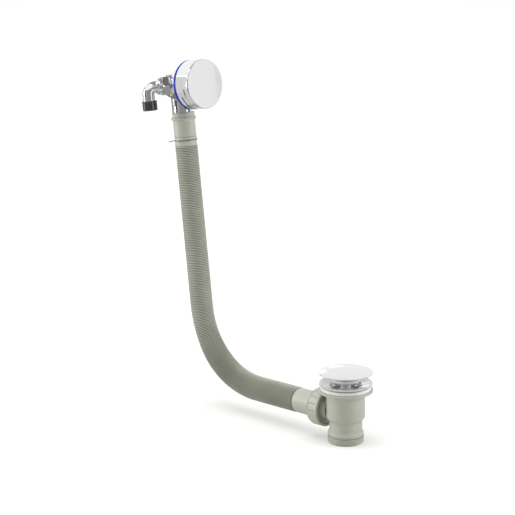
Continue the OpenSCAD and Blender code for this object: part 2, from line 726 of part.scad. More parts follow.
// Chromed cap: a shallow recess behind the front disc, and a narrow water slot below
module overflow_cap() {
    edge = 1.3;
    span = 180 - 2 * recess_start;
    slot_span = 180 - 2 * slot_start;
    color(chrome) along_head() difference() {
        rotate_extrude() polygon(concat(
            [[cap_ir, cap_back], [cap_r - 0.3, cap_back], [cap_r, cap_back + 0.3]],
            [for (a = [0 : 15 : 90]) [cap_r - edge + edge * cos(a), cap_face - edge + edge * sin(a)]],
            [[0, cap_face], [0, cap_face - 2.4], [cap_ir, cap_face - 2.4]]
        ));
        rotate_extrude(angle = span, start = recess_start - 90) translate([cap_r - recess_depth, recess_from])
            square([recess_depth + 1, recess_w]);
        rotate_extrude(angle = slot_span, start = slot_start - 90) translate([cap_ir - 1, slot_from])
            square([cap_wall + 2, slot_w]);
    }
}

// Tube that brings the water to the cap, with a deflector disc on its front
module filler_nozzle() {
    tip = slot_from + 6.3;
    disc_r = cap_ir - 7;
    port_h = 3.6;
    port_low = tip - port_h - 2.4;
    color(brass) difference() {
        union() {
            along_head(7) cylinder(r = 7.98, h = tip - 7);
            along_head(tip - 1.6) cylinder(r1 = disc_r - 0.6, r2 = disc_r, h = 1.6);
        }
        along_head(5) cylinder(r = 5.5, h = tip - 2 - 5);
        for (a = [0 : 60 : 300]) along_head(port_low) rotate([0, 0, a]) translate([3, -2, 0])
            cube([10, 4, port_h]);
    }
}

// Short tube with a flange that holds the union nut on the head
module inlet_tail() {
    color(chrome) difference() {
        union() {
            along_inlet(15) cylinder(r = tail_tube_r, h = tail_flange_s + 1.8 - 15);
            along_inlet(tail_flange_s) cylinder(r = tail_flange_r, h = 1.8);
        }
        along_inlet(14) cylinder(r = 4.8, h = 20);
    }
}

// Flat washer inside the union nut
module inlet_washer() {
    color(seal_dark) along_inlet() ring(tail_flange_r, elbow_bore / 2, washer_h, tail_flange_s + 1.8);
}

// Hexagon union nut with chamfered corners
module inlet_nut() {
    corner_r = hex_af / sqrt(3);
    color(chrome) along_inlet() difference() {
        intersection() {
            rotate([0, 0, 30]) translate([0, 0, nut_from])
                cylinder(r = corner_r, h = nut_to - nut_from, $fn = 6);
            rotate_extrude() polygon([
                [0, nut_from], [corner_r - 1.7, nut_from], [corner_r, nut_from + 1.1],
                [corner_r, nut_to - 1.1], [corner_r - 1.7, nut_to], [0, nut_to]
            ]);
        }
        translate([0, 0, nut_from - 1]) cylinder(r = tail_tube_r + 0.2, h = 5);
        translate([0, 0, tail_flange_s - 0.2]) cylinder(r = inlet_thread_r + 0.15, h = 10);
    }
}

// Quarter turn of a round rod, from the inlet's axis down into the elbow's leg
module elbow_corner(rod_r, corner_r) {
    along_inlet(elbow_reach - corner_r) rotate([90, 0, 0]) translate([corner_r, 0, 0])
        rotate_extrude(angle = -90, start = 180) translate([corner_r, 0]) circle(r = rod_r);
}

// Elbow with a flared collar, a swept corner and the threaded supply end
module inlet_elbow() {
    start = tail_flange_s + 1.8 + washer_h;
    tube_r = elbow_d / 2;
    bore_r = elbow_bore / 2;
    corner_r = tube_r + 0.8;
    collar_r = 11.6;
    supply_r = supply_thread_d / 2;
    supply_t = elbow_drop - supply_thread_l;
    color(chrome) difference() {
        union() {
            along_inlet() rotate_extrude() polygon([
                [0, start], [inlet_thread_r, start], [inlet_thread_r, nut_to + 0.2],
                [collar_r - 0.2, nut_to + 0.2], [collar_r, nut_to + 0.8], [collar_r, nut_to + 4],
                [collar_r - 0.5, nut_to + 5], [tube_r + 0.6, nut_to + 7.6], [tube_r, nut_to + 8.4],
                [tube_r, elbow_reach - corner_r], [0, elbow_reach - corner_r]
            ]);
            elbow_corner(tube_r, corner_r);
            down_elbow(corner_r) cylinder(r = tube_r, h = supply_t - corner_r + 1);
            down_elbow() rotate_extrude() polygon([
                [0, supply_t], [supply_r - 0.5, supply_t], [supply_r, supply_t + 0.5],
                [supply_r, elbow_drop - 0.9], [supply_r - 0.9, elbow_drop], [0, elbow_drop]
            ]);
        }
        along_inlet(start - 1) cylinder(r = bore_r, h = elbow_reach - corner_r - start + 1);
        elbow_corner(bore_r, corner_r);
        down_elbow(corner_r) cylinder(r = bore_r, h = elbow_drop - corner_r + 1);
    }
}

waste_body();
spider_insert();
lower_seal();
upper_seal();
waste_flange();
clamp_screw();
click_post();
return_spring();
stem_sleeve();
plug_carrier();
plug_seal();
plug_dome();
union_nut();
taper_seal();
slip_washer();
hose_tail();
overflow_hose();
hose_socket();
wire_clip();
outlet_ring();
head_body();
wall_seal();
cap_carrier();
carrier_screws();
cap_ring();
overflow_cap();
filler_nozzle();
inlet_tail();
inlet_washer();
inlet_nut();
inlet_elbow();
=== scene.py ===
import json
import bpy
import bmesh
import numpy as np
from mathutils import Matrix, Vector


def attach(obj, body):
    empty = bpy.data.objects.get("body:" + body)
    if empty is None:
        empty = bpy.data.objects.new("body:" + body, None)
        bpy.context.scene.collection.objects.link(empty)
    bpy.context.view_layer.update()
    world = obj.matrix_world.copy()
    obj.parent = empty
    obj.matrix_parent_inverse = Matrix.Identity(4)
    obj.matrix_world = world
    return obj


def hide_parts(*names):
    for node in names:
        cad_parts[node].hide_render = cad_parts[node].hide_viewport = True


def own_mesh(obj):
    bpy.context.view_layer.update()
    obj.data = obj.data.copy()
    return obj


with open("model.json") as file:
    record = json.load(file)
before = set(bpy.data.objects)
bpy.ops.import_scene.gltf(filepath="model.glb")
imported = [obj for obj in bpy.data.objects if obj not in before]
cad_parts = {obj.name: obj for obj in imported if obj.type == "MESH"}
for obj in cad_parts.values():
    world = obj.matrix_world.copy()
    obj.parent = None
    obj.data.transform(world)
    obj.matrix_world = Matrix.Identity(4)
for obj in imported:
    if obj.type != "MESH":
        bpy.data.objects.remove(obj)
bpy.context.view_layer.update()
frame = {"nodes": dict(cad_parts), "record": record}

mm = 0.001
plugNodes = ("plug_dome", "plug_carrier", "plug_seal", "stem_sleeve")
replaced = set()

# Places the pieces share, in millimetres: x towards the bath, z up from the outlet's end face
layout = {
    "hoseTop": (-286.8, 0.0, 364.8),   # where the hose's ribs begin, below its plain upper end
    "hoseLean": 6.0,                   # the straight leg leans this far back at the top, degrees
    "hubUp": 83.2,                     # up the leaning axis from there to the head's axis
    "headTilt": 7.0,                   # the head's axis rises this much towards the bath, degrees
    "sideInletZ": 39.6,
    "inletForward": 11.0,
    "inletRise": 2.2,
    "inletSwing": 60.0,                # the water inlet's turn from straight back, degrees
    "elbowReach": 53.7,
}


def direction(degrees, first, second):
    # first*cos + second*sin
    a = np.radians(degrees)
    return np.cos(a) * np.asarray(first, float) + np.sin(a) * np.asarray(second, float)


def axesAt(origin, along, across):
    # A place to build in: its origin and three unit vectors, across x aside = along
    along, across = np.asarray(along, float), np.asarray(across, float)
    return np.asarray(origin, float), across, np.cross(along, across), along


xAxis, yAxis, zAxis = np.eye(3)
leanUp = direction(layout["hoseLean"], zAxis, -xAxis)
leanOut = direction(layout["hoseLean"], xAxis, zAxis)
headOut = direction(layout["headTilt"], xAxis, zAxis)
headUp = direction(layout["headTilt"], zAxis, -xAxis)
hub = np.array(layout["hoseTop"]) + layout["hubUp"] * leanUp
inletOut = direction(layout["inletSwing"], -headOut, -yAxis)
inletHub = hub + layout["inletForward"] * headOut + layout["inletRise"] * headUp

wasteAxis = axesAt((0, 0, 0), zAxis, xAxis)
sideAxis = axesAt((0, 0, layout["sideInletZ"]), -xAxis, zAxis)
hoseAxis = axesAt(layout["hoseTop"], leanUp, leanOut)
headAxis = axesAt(hub, headOut, -headUp)
inletAxis = axesAt(inletHub, inletOut, -headUp)
supplyAxis = axesAt(inletHub + layout["elbowReach"] * inletOut, -headUp, -inletOut)


def hexColour(code):
    # sRGB to linear: c/12.92 below 0.04045, and ((c + 0.055)/1.055)^2.4 above
    c = np.array([int(code[i:i + 2], 16) for i in (1, 3, 5)]) / 255
    linear = np.where(c <= 0.04045, c / 12.92, ((c + 0.055) / 1.055) ** 2.4)
    return (*(float(v) for v in linear), 1.0)


def addNode(tree, kind, values=None, links=None, **settings):
    node = tree.nodes.new(kind)
    for key, value in settings.items():
        setattr(node, key, value)
    for key, value in (values or {}).items():
        node.inputs[key].default_value = value
    for key, socket in (links or {}).items():
        tree.links.new(socket, node.inputs[key])
    return node


def newFinish(name, **values):
    # An empty material with a Principled shader that already has its constant values
    material = bpy.data.materials.new(name)
    material.use_nodes = True
    tree = material.node_tree
    tree.nodes.clear()
    shader = addNode(tree, "ShaderNodeBsdfPrincipled", {k.replace("_", " "): v for k, v in values.items()})
    addNode(tree, "ShaderNodeOutputMaterial", None, {"Surface": shader.outputs["BSDF"]})
    place = addNode(tree, "ShaderNodeTexCoord").outputs["Object"]
    return material, tree, shader, place


def perMetre(millimetres):
    # Noise scale whose features are about this wide
    return 1 / (millimetres * mm)


def mouldedPlastic(name, colour, shade, roughness, grain=0.9, grainDepth=0.02, cloud=26.0, specular=0.5,
                   grooveShade=0.0):
    # Moulded thermoplastic: a soft sheen, faint clouds of tone from the melt, and the mould's fine spark grain.
    # Real spark grain is about 0.1 mm wide, drawn coarser here so that it shows.
    material, tree, shader, place = newFinish(name, IOR=1.49, Specular_IOR_Level=specular)
    clouds = addNode(tree, "ShaderNodeTexNoise", {"Scale": perMetre(cloud), "Detail": 3.0}, {"Vector": place})
    tone = addNode(tree, "ShaderNodeMix", data_type="RGBA")
    tone.inputs[6].default_value, tone.inputs[7].default_value = hexColour(shade), hexColour(colour)
    spread = addNode(tree, "ShaderNodeMapRange", {"From Min": 0.35, "From Max": 0.65}, {"Value": clouds.outputs["Fac"]})
    tree.links.new(spread.outputs["Result"], tone.inputs[0])
    if grooveShade:
        # Painted shade: the bottoms of the grooves are darkened in the base colour, as they get little light
        depth = addNode(tree, "ShaderNodeAttribute", attribute_name="groove")
        deep = addNode(tree, "ShaderNodeMath", {1: 1 - grooveShade}, {0: depth.outputs["Fac"]}, operation="MULTIPLY")
        grooveShaded = addNode(tree, "ShaderNodeMix", None, {0: deep.outputs[0], 6: tone.outputs[2]}, data_type="RGBA")
        grooveShaded.inputs[7].default_value = hexColour("#2E2F29")
        tone = grooveShaded
    tree.links.new(tone.outputs[2], shader.inputs["Base Color"])
    worn = addNode(tree, "ShaderNodeMapRange", {"To Min": roughness - 0.05, "To Max": roughness + 0.06},
                   {"Value": clouds.outputs["Fac"]})
    tree.links.new(worn.outputs["Result"], shader.inputs["Roughness"])
    grains = addNode(tree, "ShaderNodeTexNoise", {"Scale": perMetre(grain), "Detail": 2.0}, {"Vector": place})
    bump = addNode(tree, "ShaderNodeBump", {"Strength": 0.6, "Distance": grainDepth * mm},
                   {"Height": grains.outputs["Fac"]})
    tree.links.new(bump.outputs["Normal"], shader.inputs["Normal"])
    return material


def platedMetal(name, colour, smooth, hazy, ripple=9.0, rippleDepth=0.004, metallic=1.0):
    # Plated or drawn metal: mirror-like, with patches of haze from handling and a very long, shallow ripple.
    # Below 1, metallic leaves part of the light scattered, as on a milky plate.
    material, tree, shader, place = newFinish(name, Base_Color=hexColour(colour), Metallic=metallic)
    patches = addNode(tree, "ShaderNodeTexNoise", {"Scale": perMetre(14.0), "Detail": 4.0}, {"Vector": place})
    haze = addNode(tree, "ShaderNodeMapRange", {"From Min": 0.3, "From Max": 0.7, "To Min": smooth, "To Max": hazy},
                   {"Value": patches.outputs["Fac"]})
    tree.links.new(haze.outputs["Result"], shader.inputs["Roughness"])
    waves = addNode(tree, "ShaderNodeTexNoise", {"Scale": perMetre(ripple), "Detail": 1.0}, {"Vector": place})
    bump = addNode(tree, "ShaderNodeBump", {"Strength": 0.5, "Distance": rippleDepth * mm},
                   {"Height": waves.outputs["Fac"]})
    tree.links.new(bump.outputs["Normal"], shader.inputs["Normal"])
    return material


finishes = {
    # Polypropylene, moulded pale grey-green: satin, with the spark grain of its mould
    "pale_plastic": mouldedPlastic("palePolypropyleneMoulded", "#B9BBAE", "#B2B4A7", 0.42),
    # PVC, blown into a corrugated hose: a little darker and duller than the mouldings, with painted shade in its
    # grooves
    "hose_plastic": mouldedPlastic("greyPvcCorrugated", "#BCBEB0", "#B4B6A8", 0.5, grooveShade=0.26),
    # Brass with polished chrome plate: a clear mirror
    "chrome": platedMetal("chromePlatePolished", "#F2F2F3", 0.03, 0.06),
    # The waste's plate is milkier: it reads almost white, and its reflections are soft
    "milky_chrome": platedMetal("chromePlateMilky", "#DCDCDC", 0.08, 0.13, metallic=0.5),
    # The stem is satin plated: it scatters the light that reaches it under the dome
    "pale_chrome": platedMetal("chromePlateSatin", "#F6F6F6", 0.2, 0.28, metallic=0.15),
    # Upper seal of grey rubber, lighter than the rings inside
    "grey_rubber": mouldedPlastic("greyRubberMoulded", "#8A8B8C", "#828385", 0.5, 1.2, 0.01),
    # The supply end's nickel over brass, with the shade of its fine thread painted into its dark colour: a dim,
    # slightly blurred mirror
    "thread_shaded_nickel": platedMetal("threadShadedNickelPlate", "#6E6E70", 0.12, 0.2),
    # Turned brass: yellow and a little dull from the cutter
    "brass": platedMetal("brassTurned", "#D8B46A", 0.22, 0.34),
    # Drawn stainless steel wire and pressings
    "steel": platedMetal("stainlessSteelDrawn", "#8C8E90", 0.2, 0.3),
    # White and dark rubber: matt, slightly uneven
    "white_rubber": mouldedPlastic("whiteRubberMoulded", "#EDEDEB", "#E6E6E3", 0.5, 1.2, 0.01),
    "dark_rubber": mouldedPlastic("darkRubberMoulded", "#3A3A3C", "#323234", 0.55, 1.2, 0.01),
    # Silicone, moulded in strong blue
    "blue_seal": mouldedPlastic("blueSiliconeMoulded", "#002AAE", "#00249E", 0.5, 1.2, 0.01, specular=0.12),
}
print("finishes made")


def gridShell(points, closedRows):
    # Quads between neighbouring points of a grid; columns always close on themselves
    rows, columns = points.shape[:2]
    index = np.arange(rows * columns).reshape(rows, columns)
    if closedRows:
        index = np.vstack([index, index[:1]])
    index = np.hstack([index, index[:, :1]])
    quads = np.stack([index[:-1, :-1], index[:-1, 1:], index[1:, 1:], index[1:, :-1]], -1)
    return points.reshape(-1, 3), quads.reshape(-1, 4)


def finishPiece(obj, node, slot, sharpAngle=40.0, finish=None):
    # Closes poles and seams, turns faces outwards, and puts the piece on its node's body
    work = bmesh.new()
    work.from_mesh(obj.data)
    bmesh.ops.remove_doubles(work, verts=work.verts, dist=0.002 * mm)
    bmesh.ops.dissolve_degenerate(work, edges=work.edges, dist=0.0005 * mm)
    bmesh.ops.recalc_face_normals(work, faces=work.faces)
    work.to_mesh(obj.data)
    work.free()
    obj.data.shade_smooth()
    obj.data.set_sharp_from_angle(angle=np.radians(sharpAngle))
    obj.data.materials.clear()
    obj.data.materials.append(finishes[finish or slot])
    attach(obj, "plug" if node in plugNodes else "set")
    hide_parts(node)
    replaced.add(node)
    return obj


def makePiece(name, shells, node, slot, sharpAngle=40.0, finish=None, measures=None):
    # shells is a list of grids of points in millimetres; the rows close too, unless a grid begins at one point
    points, faces, offset = [], [], 0
    for grid in shells:
        p, f = gridShell(grid, np.ptp(grid[0], axis=0).max() > 1e-6)
        points.append(p * mm)
        faces.append(f + offset)
        offset += len(p)
    mesh = bpy.data.meshes.new(name)
    mesh.from_pydata(np.vstack(points).tolist(), [], np.vstack(faces).tolist())
    for key, values in (measures or {}).items():
        mesh.attributes.new(key, "FLOAT", "POINT").data.foreach_set("value", values)
    obj = bpy.data.objects.new(name, mesh)
    bpy.context.scene.collection.objects.link(obj)
    return finishPiece(obj, node, slot, sharpAngle, finish)


def smoothCopy(node, slot, sharpAngle=32.0, finish=None):
    # The CAD node's own shape, merged and shaded smooth, in a finer finish
    source = frame["nodes"][node]
    obj = bpy.data.objects.new(node + "_smooth", source.data.copy())
    bpy.context.scene.collection.objects.link(obj)
    return finishPiece(obj, node, slot, sharpAngle, finish)


def rounded(corners, steps=5):
    # A closed profile of (r, h, fillet) corners. Each corner becomes the quadratic curve from d before it to d after
    # it, where d is its fillet, and one more point lies just beyond each end, so that flats stay flat.
    c = np.array([(*p[:2], p[2] if len(p) > 2 else 0.25) for p in corners], float)
    before, after = np.roll(c, 1, axis=0)[:, :2] - c[:, :2], np.roll(c, -1, axis=0)[:, :2] - c[:, :2]
    lengthA, lengthB = np.linalg.norm(before, axis=1), np.linalg.norm(after, axis=1)
    d = np.minimum(c[:, 2], 0.42 * np.minimum(lengthA, lengthB))[:, None, None]
    before, after = (before / lengthA[:, None])[:, None], (after / lengthB[:, None])[:, None]
    t = np.linspace(0, 1, steps + 1)[None, :, None]
    corner = c[:, None, :2]
    arc = (1 - t) ** 2 * (corner + d * before) + 2 * t * (1 - t) * corner + t ** 2 * (corner + d * after)
    flat = 0.12 * d + 0.04
    keep = (d > 0).astype(float)
    arc = np.concatenate([corner + (d + flat * keep) * before, arc, corner + (d + flat * keep) * after], 1)
    return arc.reshape(-1, 2)


def turned(axis, profile, columns=144, ripple=None):
    # point = origin + r*(cos a * across + sin a * aside) + h * along, where ripple(a, r, h) may change r
    origin, across, aside, along = axis
    r, h = profile[:, :1], profile[:, 1:]
    a = np.linspace(0, 2 * np.pi, columns, endpoint=False)[None]
    r = ripple(a, r, h + 0 * a) if ripple else r + 0 * a
    return (origin + (r * np.cos(a))[..., None] * across + (r * np.sin(a))[..., None] * aside
            + (h + 0 * a)[..., None] * along)


def swept(path, normal, radius, sides=28):
    # A circle carried along a path: point = path + r*(cos b * normal + sin b * (heading x normal))
    heading = np.gradient(path, axis=0)
    heading /= np.linalg.norm(heading, axis=1)[:, None]
    side = np.cross(heading, normal)
    b = np.linspace(0, 2 * np.pi, sides, endpoint=False)[None, :, None]
    r = (radius + np.zeros(len(path)))[:, None, None]
    return path[:, None] + r * (np.cos(b) * normal[:, None] + np.sin(b) * side[:, None])


def screwThread(low, high, crest, depth, pitch, turns=1):
    # r = crest - depth*(0.5 + 0.5 cos(2 pi (h/pitch) - a))^0.8 between low and high, run out over half a pitch
    def ripple(a, r, h):
        wave = (0.5 + 0.5 * np.cos(2 * np.pi * h / pitch - turns * a)) ** 0.8
        runOut = np.clip((h - low) / pitch * 2, 0, 1) * np.clip((high - h) / pitch * 2, 0, 1)
        return r - depth * wave * runOut * (np.abs(r - crest) < 0.02)
    return ripple


def densely(profile, low, high, step, r):
    # The same profile, with more points along the straight stretch at radius r between low and high
    on = np.abs(profile[:, 0] - r) < 0.02
    inside = np.where(on & (profile[:, 1] > low - 0.01) & (profile[:, 1] < high + 0.01))[0]
    first, last = profile[inside[0]], profile[inside[-1]]
    count = int(abs(last[1] - first[1]) / step) + 2
    return np.vstack([profile[:inside[0]], np.linspace(first, last, count), profile[inside[-1] + 1:]])


def crossBars(reach, z, half, sides):
    # Four bars in a cross: along each, a circle squared off by the power 0.35 and scaled to half = (width, height)/2
    stations = np.concatenate([reach[:1], reach, reach[-1:]])[:, None, None]
    size = np.concatenate([[0], np.ones(len(reach)), [0]])[:, None, None]
    b = np.linspace(0, 2 * np.pi, sides, endpoint=False)
    square = [(np.sign(f(b)) * np.abs(f(b)) ** 0.35)[None, :, None] for f in (np.cos, np.sin)]
    bars = []
    for turn in np.radians([45, 135, 225, 315]):
        ahead, side = np.array([np.cos(turn), np.sin(turn), 0]), np.array([-np.sin(turn), np.cos(turn), 0])
        bars.append(stations * ahead + z * zAxis
                    + size * (half[0] * square[0] * side + half[1] * square[1] * zAxis))
    return bars


# Waste body: cup with its flange, outlet thread, side inlet and the spider that holds the insert
waste = {
    "threadR": 23.9, "threadLength": 8.6, "threadPitch": 2.309, "threadDepth": 1.35, "boreR": 19.5,
    "tubeR": 21.7, "tubeTop": 29.5, "cupR": 25.3, "cupBoreR": 22.5, "shoulder": 34.0,
    "flangeR": 36.0, "top": 72.0, "neckR": 15.0, "neckBoreR": 12.5,
    "collarR": 20.95, "collarFrom": 35.0, "collarTo": 46.4, "collarPitch": 2.309, "collarThreadDepth": 0.9,
    "spiderBoreR": 11.0, "spiderR": 13.4, "spiderLow": 50.0, "spiderTop": 62.0, "armZ": 56.0, "armHalf": (1.6, 4.0),
}


def makeWaste():
    w = waste
    t, bead = w["threadR"], w["threadLength"] + 1.4
    body = rounded([
        (w["boreR"], 0, 0.4), (t - 1.9, 0, 0.3), (t, 1.5, 0.4), (t, w["threadLength"], 0.35),
        (t - 2.2, w["threadLength"] + 0.1, 0.2), (t - 2.2, bead, 0.2), (t - 0.2, bead + 0.5, 0.9),
        (t - 0.2, bead + 4.2, 1.4), (w["tubeR"], bead + 6.1, 1.0), (w["tubeR"], w["tubeTop"], 1.2),
        (w["cupR"], w["shoulder"], 1.0), (w["cupR"], w["top"] - 9, 0.3), (w["cupR"] + 0.4, w["top"] - 8.6, 0.3),
        (w["cupR"] + 0.4, w["top"] - 3.2, 1.6), (w["flangeR"], w["top"] - 3, 0.8), (w["flangeR"], w["top"], 0.7),
        (w["cupBoreR"], w["top"], 0.5), (w["cupBoreR"], w["shoulder"] + 0.6, 1.0), (w["boreR"], w["tubeTop"], 1.0),
    ])
    body = densely(body, 1.6, w["threadLength"] - 0.2, 0.16, t)
    thread = screwThread(1.2, w["threadLength"] - 0.2, t, w["threadDepth"], w["threadPitch"])
    end = w["collarTo"]
    neck = rounded([
        (w["neckBoreR"], 24), (w["neckR"], 24, 0), (w["neckR"], w["collarFrom"], 1.2),
        (w["collarR"], w["collarFrom"], 0.8), (w["collarR"], end, 1.0), (19.5, end, 0.3), (17.0, end - 3, 0.3),
        (16.85, end - 10.4, 0.3), (w["neckBoreR"], end - 10.4, 0.4),
    ])
    neck = densely(neck, w["collarFrom"] + 0.5, end - 0.5, 0.18, w["collarR"])
    collarThread = screwThread(w["collarFrom"] + 1, end - 1, w["collarR"], w["collarThreadDepth"],
                               w["collarPitch"])
    spider = rounded([(w["spiderBoreR"], w["spiderLow"], 0.4), (w["spiderR"], w["spiderLow"], 0.6),
                      (w["spiderR"], w["spiderTop"], 0.6), (w["spiderBoreR"], w["spiderTop"], 0.4)])
    arms = crossBars(np.linspace(12.0, w["cupBoreR"] + 0.4, 8), w["armZ"], w["armHalf"], 40)
    makePiece("waste_moulding", [turned(wasteAxis, body, 192, thread), turned(sideAxis, neck, 144, collarThread),
                                 turned(wasteAxis, spider, 96), *arms], "waste_body", "pale_plastic")


makeWaste()

# Flange, seals and what stands in the drain
drain = {
    "flangeR": 35.1, "rim": 2.7, "drainR": 21.1, "dish": 3.2, "metal": 1.7, "tailR": 21.8, "seatTopR": 20.2,
    "seatLowR": 17.9, "lowerSealHeight": 4.8, "upperSealHeight": 1.7, "sealBoreR": 24.4, "tailDrop": 8.5,
    "bossBoreR": 8.6, "bossR": 12.5, "barDrop": 6.25, "barHalf": (1.5, 2.25),
}


def makeDrain():
    d = drain
    low = waste["top"]
    sealTop = low + d["lowerSealHeight"]
    under = sealTop + d["upperSealHeight"]
    top = under + d["rim"]
    edge = top - d["dish"]
    foot = low - d["tailDrop"]
    makePiece("seal_lower", [turned(wasteAxis, rounded([
        (d["sealBoreR"], low, 0.3), (d["flangeR"] - 1.8, low, 0.8), (d["flangeR"] - 1.8, sealTop, 0.9),
        (d["sealBoreR"], sealTop, 0.3),
    ]), 144)], "lower_seal", "white_rubber")
    makePiece("seal_upper", [turned(wasteAxis, rounded([
        (25.8, sealTop, 0.1), (d["flangeR"] - 2.6, sealTop, 0.3), (d["flangeR"] - 2.6, under, 0.3),
        (30.3, under, 0.1), (25.8, under - 1.15, 0.1),
    ]), 144)], "upper_seal", "dark_rubber", 40, "grey_rubber")
    rim = d["flangeR"]
    dish = rounded([
        (d["seatLowR"], foot, 0.3), (d["tailR"], foot, 0.4), (d["tailR"], edge - d["metal"] - 0.6, 0.4),
        (d["drainR"] + 1.6, edge - d["metal"] + 0.3, 0.3), (30, under, 0.4), (rim, under, 0.9),
        (rim, top, 0.9), (rim - 1.6, top, 0.5), (d["drainR"], edge, 0.7),
        (d["seatTopR"], edge - 2.2, 0.5), (d["seatLowR"], edge - 6.0, 0.5),
    ])
    boss = rounded([(d["bossBoreR"], foot, 0.3), (d["bossR"], foot, 0.5), (d["bossR"], low - 4, 0.5),
                    (d["bossBoreR"], low - 4, 0.3)])
    bars = crossBars(np.array([11.6, 15, 18.6]), low - d["barDrop"], d["barHalf"], 32)
    makePiece("flange_dished", [turned(wasteAxis, dish, 176), turned(wasteAxis, boss, 96), *bars],
              "waste_flange", "chrome", 40, "milky_chrome")
    return top


flangeTop = makeDrain()
print("waste made")

# Plug, which stands open: domed cover, carrier, seal and the stem that slides on the post
plug = {
    "domeR": 35.9, "crown": 3.9, "wall": 1.6, "rimAbove": 12.8, "rimHeight": 1.2, "sealR": 19.6, "stemR": 6.85,
    "studR": 4.06, "boreR": 5.3, "travel": 9.5, "stemLow": 64.0,
}


def makePlug():
    p = plug
    rimZ = flangeTop + p["rimAbove"]
    carrierTop = rimZ + 1.2
    sealLow = carrierTop - 11.3
    crownBase = rimZ + p["rimHeight"]
    ball = (p["domeR"] ** 2 + p["crown"] ** 2) / (2 * p["crown"])
    centre = crownBase + p["crown"] - ball
    # Crown of the dome: a sphere through its rim and its top; the inside is the same sphere, less the wall
    x = np.linspace(9.0, p["domeR"] - 2.4, 24)
    inside = np.stack([x, centre + np.sqrt((ball - p["wall"]) ** 2 - x ** 2)], 1)
    b = np.radians(np.linspace(-150, 62, 18))
    rim = np.stack([p["domeR"] - 0.75 + 0.75 * np.cos(b), rimZ + 0.78 + 0.75 * np.sin(b)], 1)
    x = np.linspace(p["domeR"] - 0.9, 0, 60)
    crown = np.stack([x, centre + np.sqrt(ball ** 2 - x ** 2)], 1)
    foot = np.array([[0, carrierTop + 1.6], [4.06, carrierTop + 1.6], [4.06, carrierTop], [8.9, carrierTop]])
    makePiece("plug_cover", [turned(wasteAxis, np.vstack([foot, inside, rim, crown]), 192)],
              "plug_dome", "chrome", 50, "milky_chrome")
    body, lip = p["sealR"] - 2.8, p["sealR"] - 1.6
    stemTop = carrierTop - 3.4
    makePiece("plug_hub", [turned(wasteAxis, rounded([
        (p["stemR"] + 0.06, sealLow - 0.9, 0.2), (lip, sealLow - 0.9, 0.5), (lip, sealLow, 0.2),
        (body, sealLow, 0.1), (body, carrierTop - 3.6, 0.5), (body + 0.35, carrierTop - 3.1, 0.3),
        (body, carrierTop - 2.6, 0.3), (body - 0.2, carrierTop, 0.4),
        (p["studR"], carrierTop, 0.1), (p["studR"], stemTop, 0.1), (p["stemR"] + 0.06, stemTop, 0.1),
    ]), 144)], "plug_carrier", "chrome", 40, "milky_chrome")
    makePiece("plug_ring", [turned(wasteAxis, rounded([
        (p["sealR"] - 2.77, sealLow, 0.1), (p["sealR"], sealLow, 1.5), (p["sealR"], sealLow + 4, 0.6),
        (p["sealR"] - 2.77, sealLow + 4, 0.1),
    ], 8), 144)], "plug_seal", "white_rubber")
    low, ceiling = p["stemLow"], carrierTop - 5
    makePiece("stem_polished", [turned(wasteAxis, rounded([
        (0, ceiling, 0), (p["boreR"], ceiling, 0.3), (p["boreR"], low, 0.3), (p["stemR"], low, 0.5),
        (p["stemR"], ceiling + 1.6, 0.3), (4.0, ceiling + 1.6, 0.1), (4.0, carrierTop + 1.4, 0.4),
        (0, carrierTop + 1.4, 0),
    ]), 96)], "stem_sleeve", "chrome", 40, "pale_chrome")
    return ceiling


stemCeiling = makePlug()

# Spring: a helix between the post's floor and the stem's ceiling, its end turns lying flat
spring = {"wireR": 0.5, "coilR": 3.3, "turns": 8.0, "low": 56.6, "stepsPerTurn": 40}


def makeSpring():
    s = spring
    top = stemCeiling - 0.3
    t = np.linspace(0, 1, int(s["turns"] * s["stepsPerTurn"]) + 1)
    a = 2 * np.pi * s["turns"] * t
    # Height follows t, held back at both ends so that the last turn closes: 3t^2 - 2t^3 mixed with t
    rise = 0.75 * t + 0.25 * (3 * t ** 2 - 2 * t ** 3)
    z = s["low"] + s["wireR"] + (top - s["low"] - 2 * s["wireR"]) * rise
    out = np.stack([np.cos(a), np.sin(a), 0 * a], 1)
    path = s["coilR"] * out + z[:, None] * zAxis
    path, out = np.vstack([path[:1], path, path[-1:]]), np.vstack([out[:1], out, out[-1:]])
    heading = np.gradient(path[1:-1], axis=0)
    path[0] -= 1e-3 * heading[0]
    path[-1] += 1e-3 * heading[-1]
    radius = np.full(len(path), s["wireR"])
    radius[[0, -1]] = 0
    obj = makePiece("spring_coil", [swept(path, out, radius, 14)], "return_spring", "steel", 60)
    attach(obj, "set")
    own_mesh(obj)


makeSpring()
print("plug made")

# Side inlet's union nut: grip grooves round it, and a fine serrated cone at the back
nut = {"outerR": 25.3, "back": 50.4, "length": 20.4, "holeR": 17.0, "threadBoreR": 21.1, "grooves": 16,
       "grooveDepth": 1.0, "grooveWidth": 1.8, "serrations": 72, "serrationDepth": 0.9, "slant": 2.5}


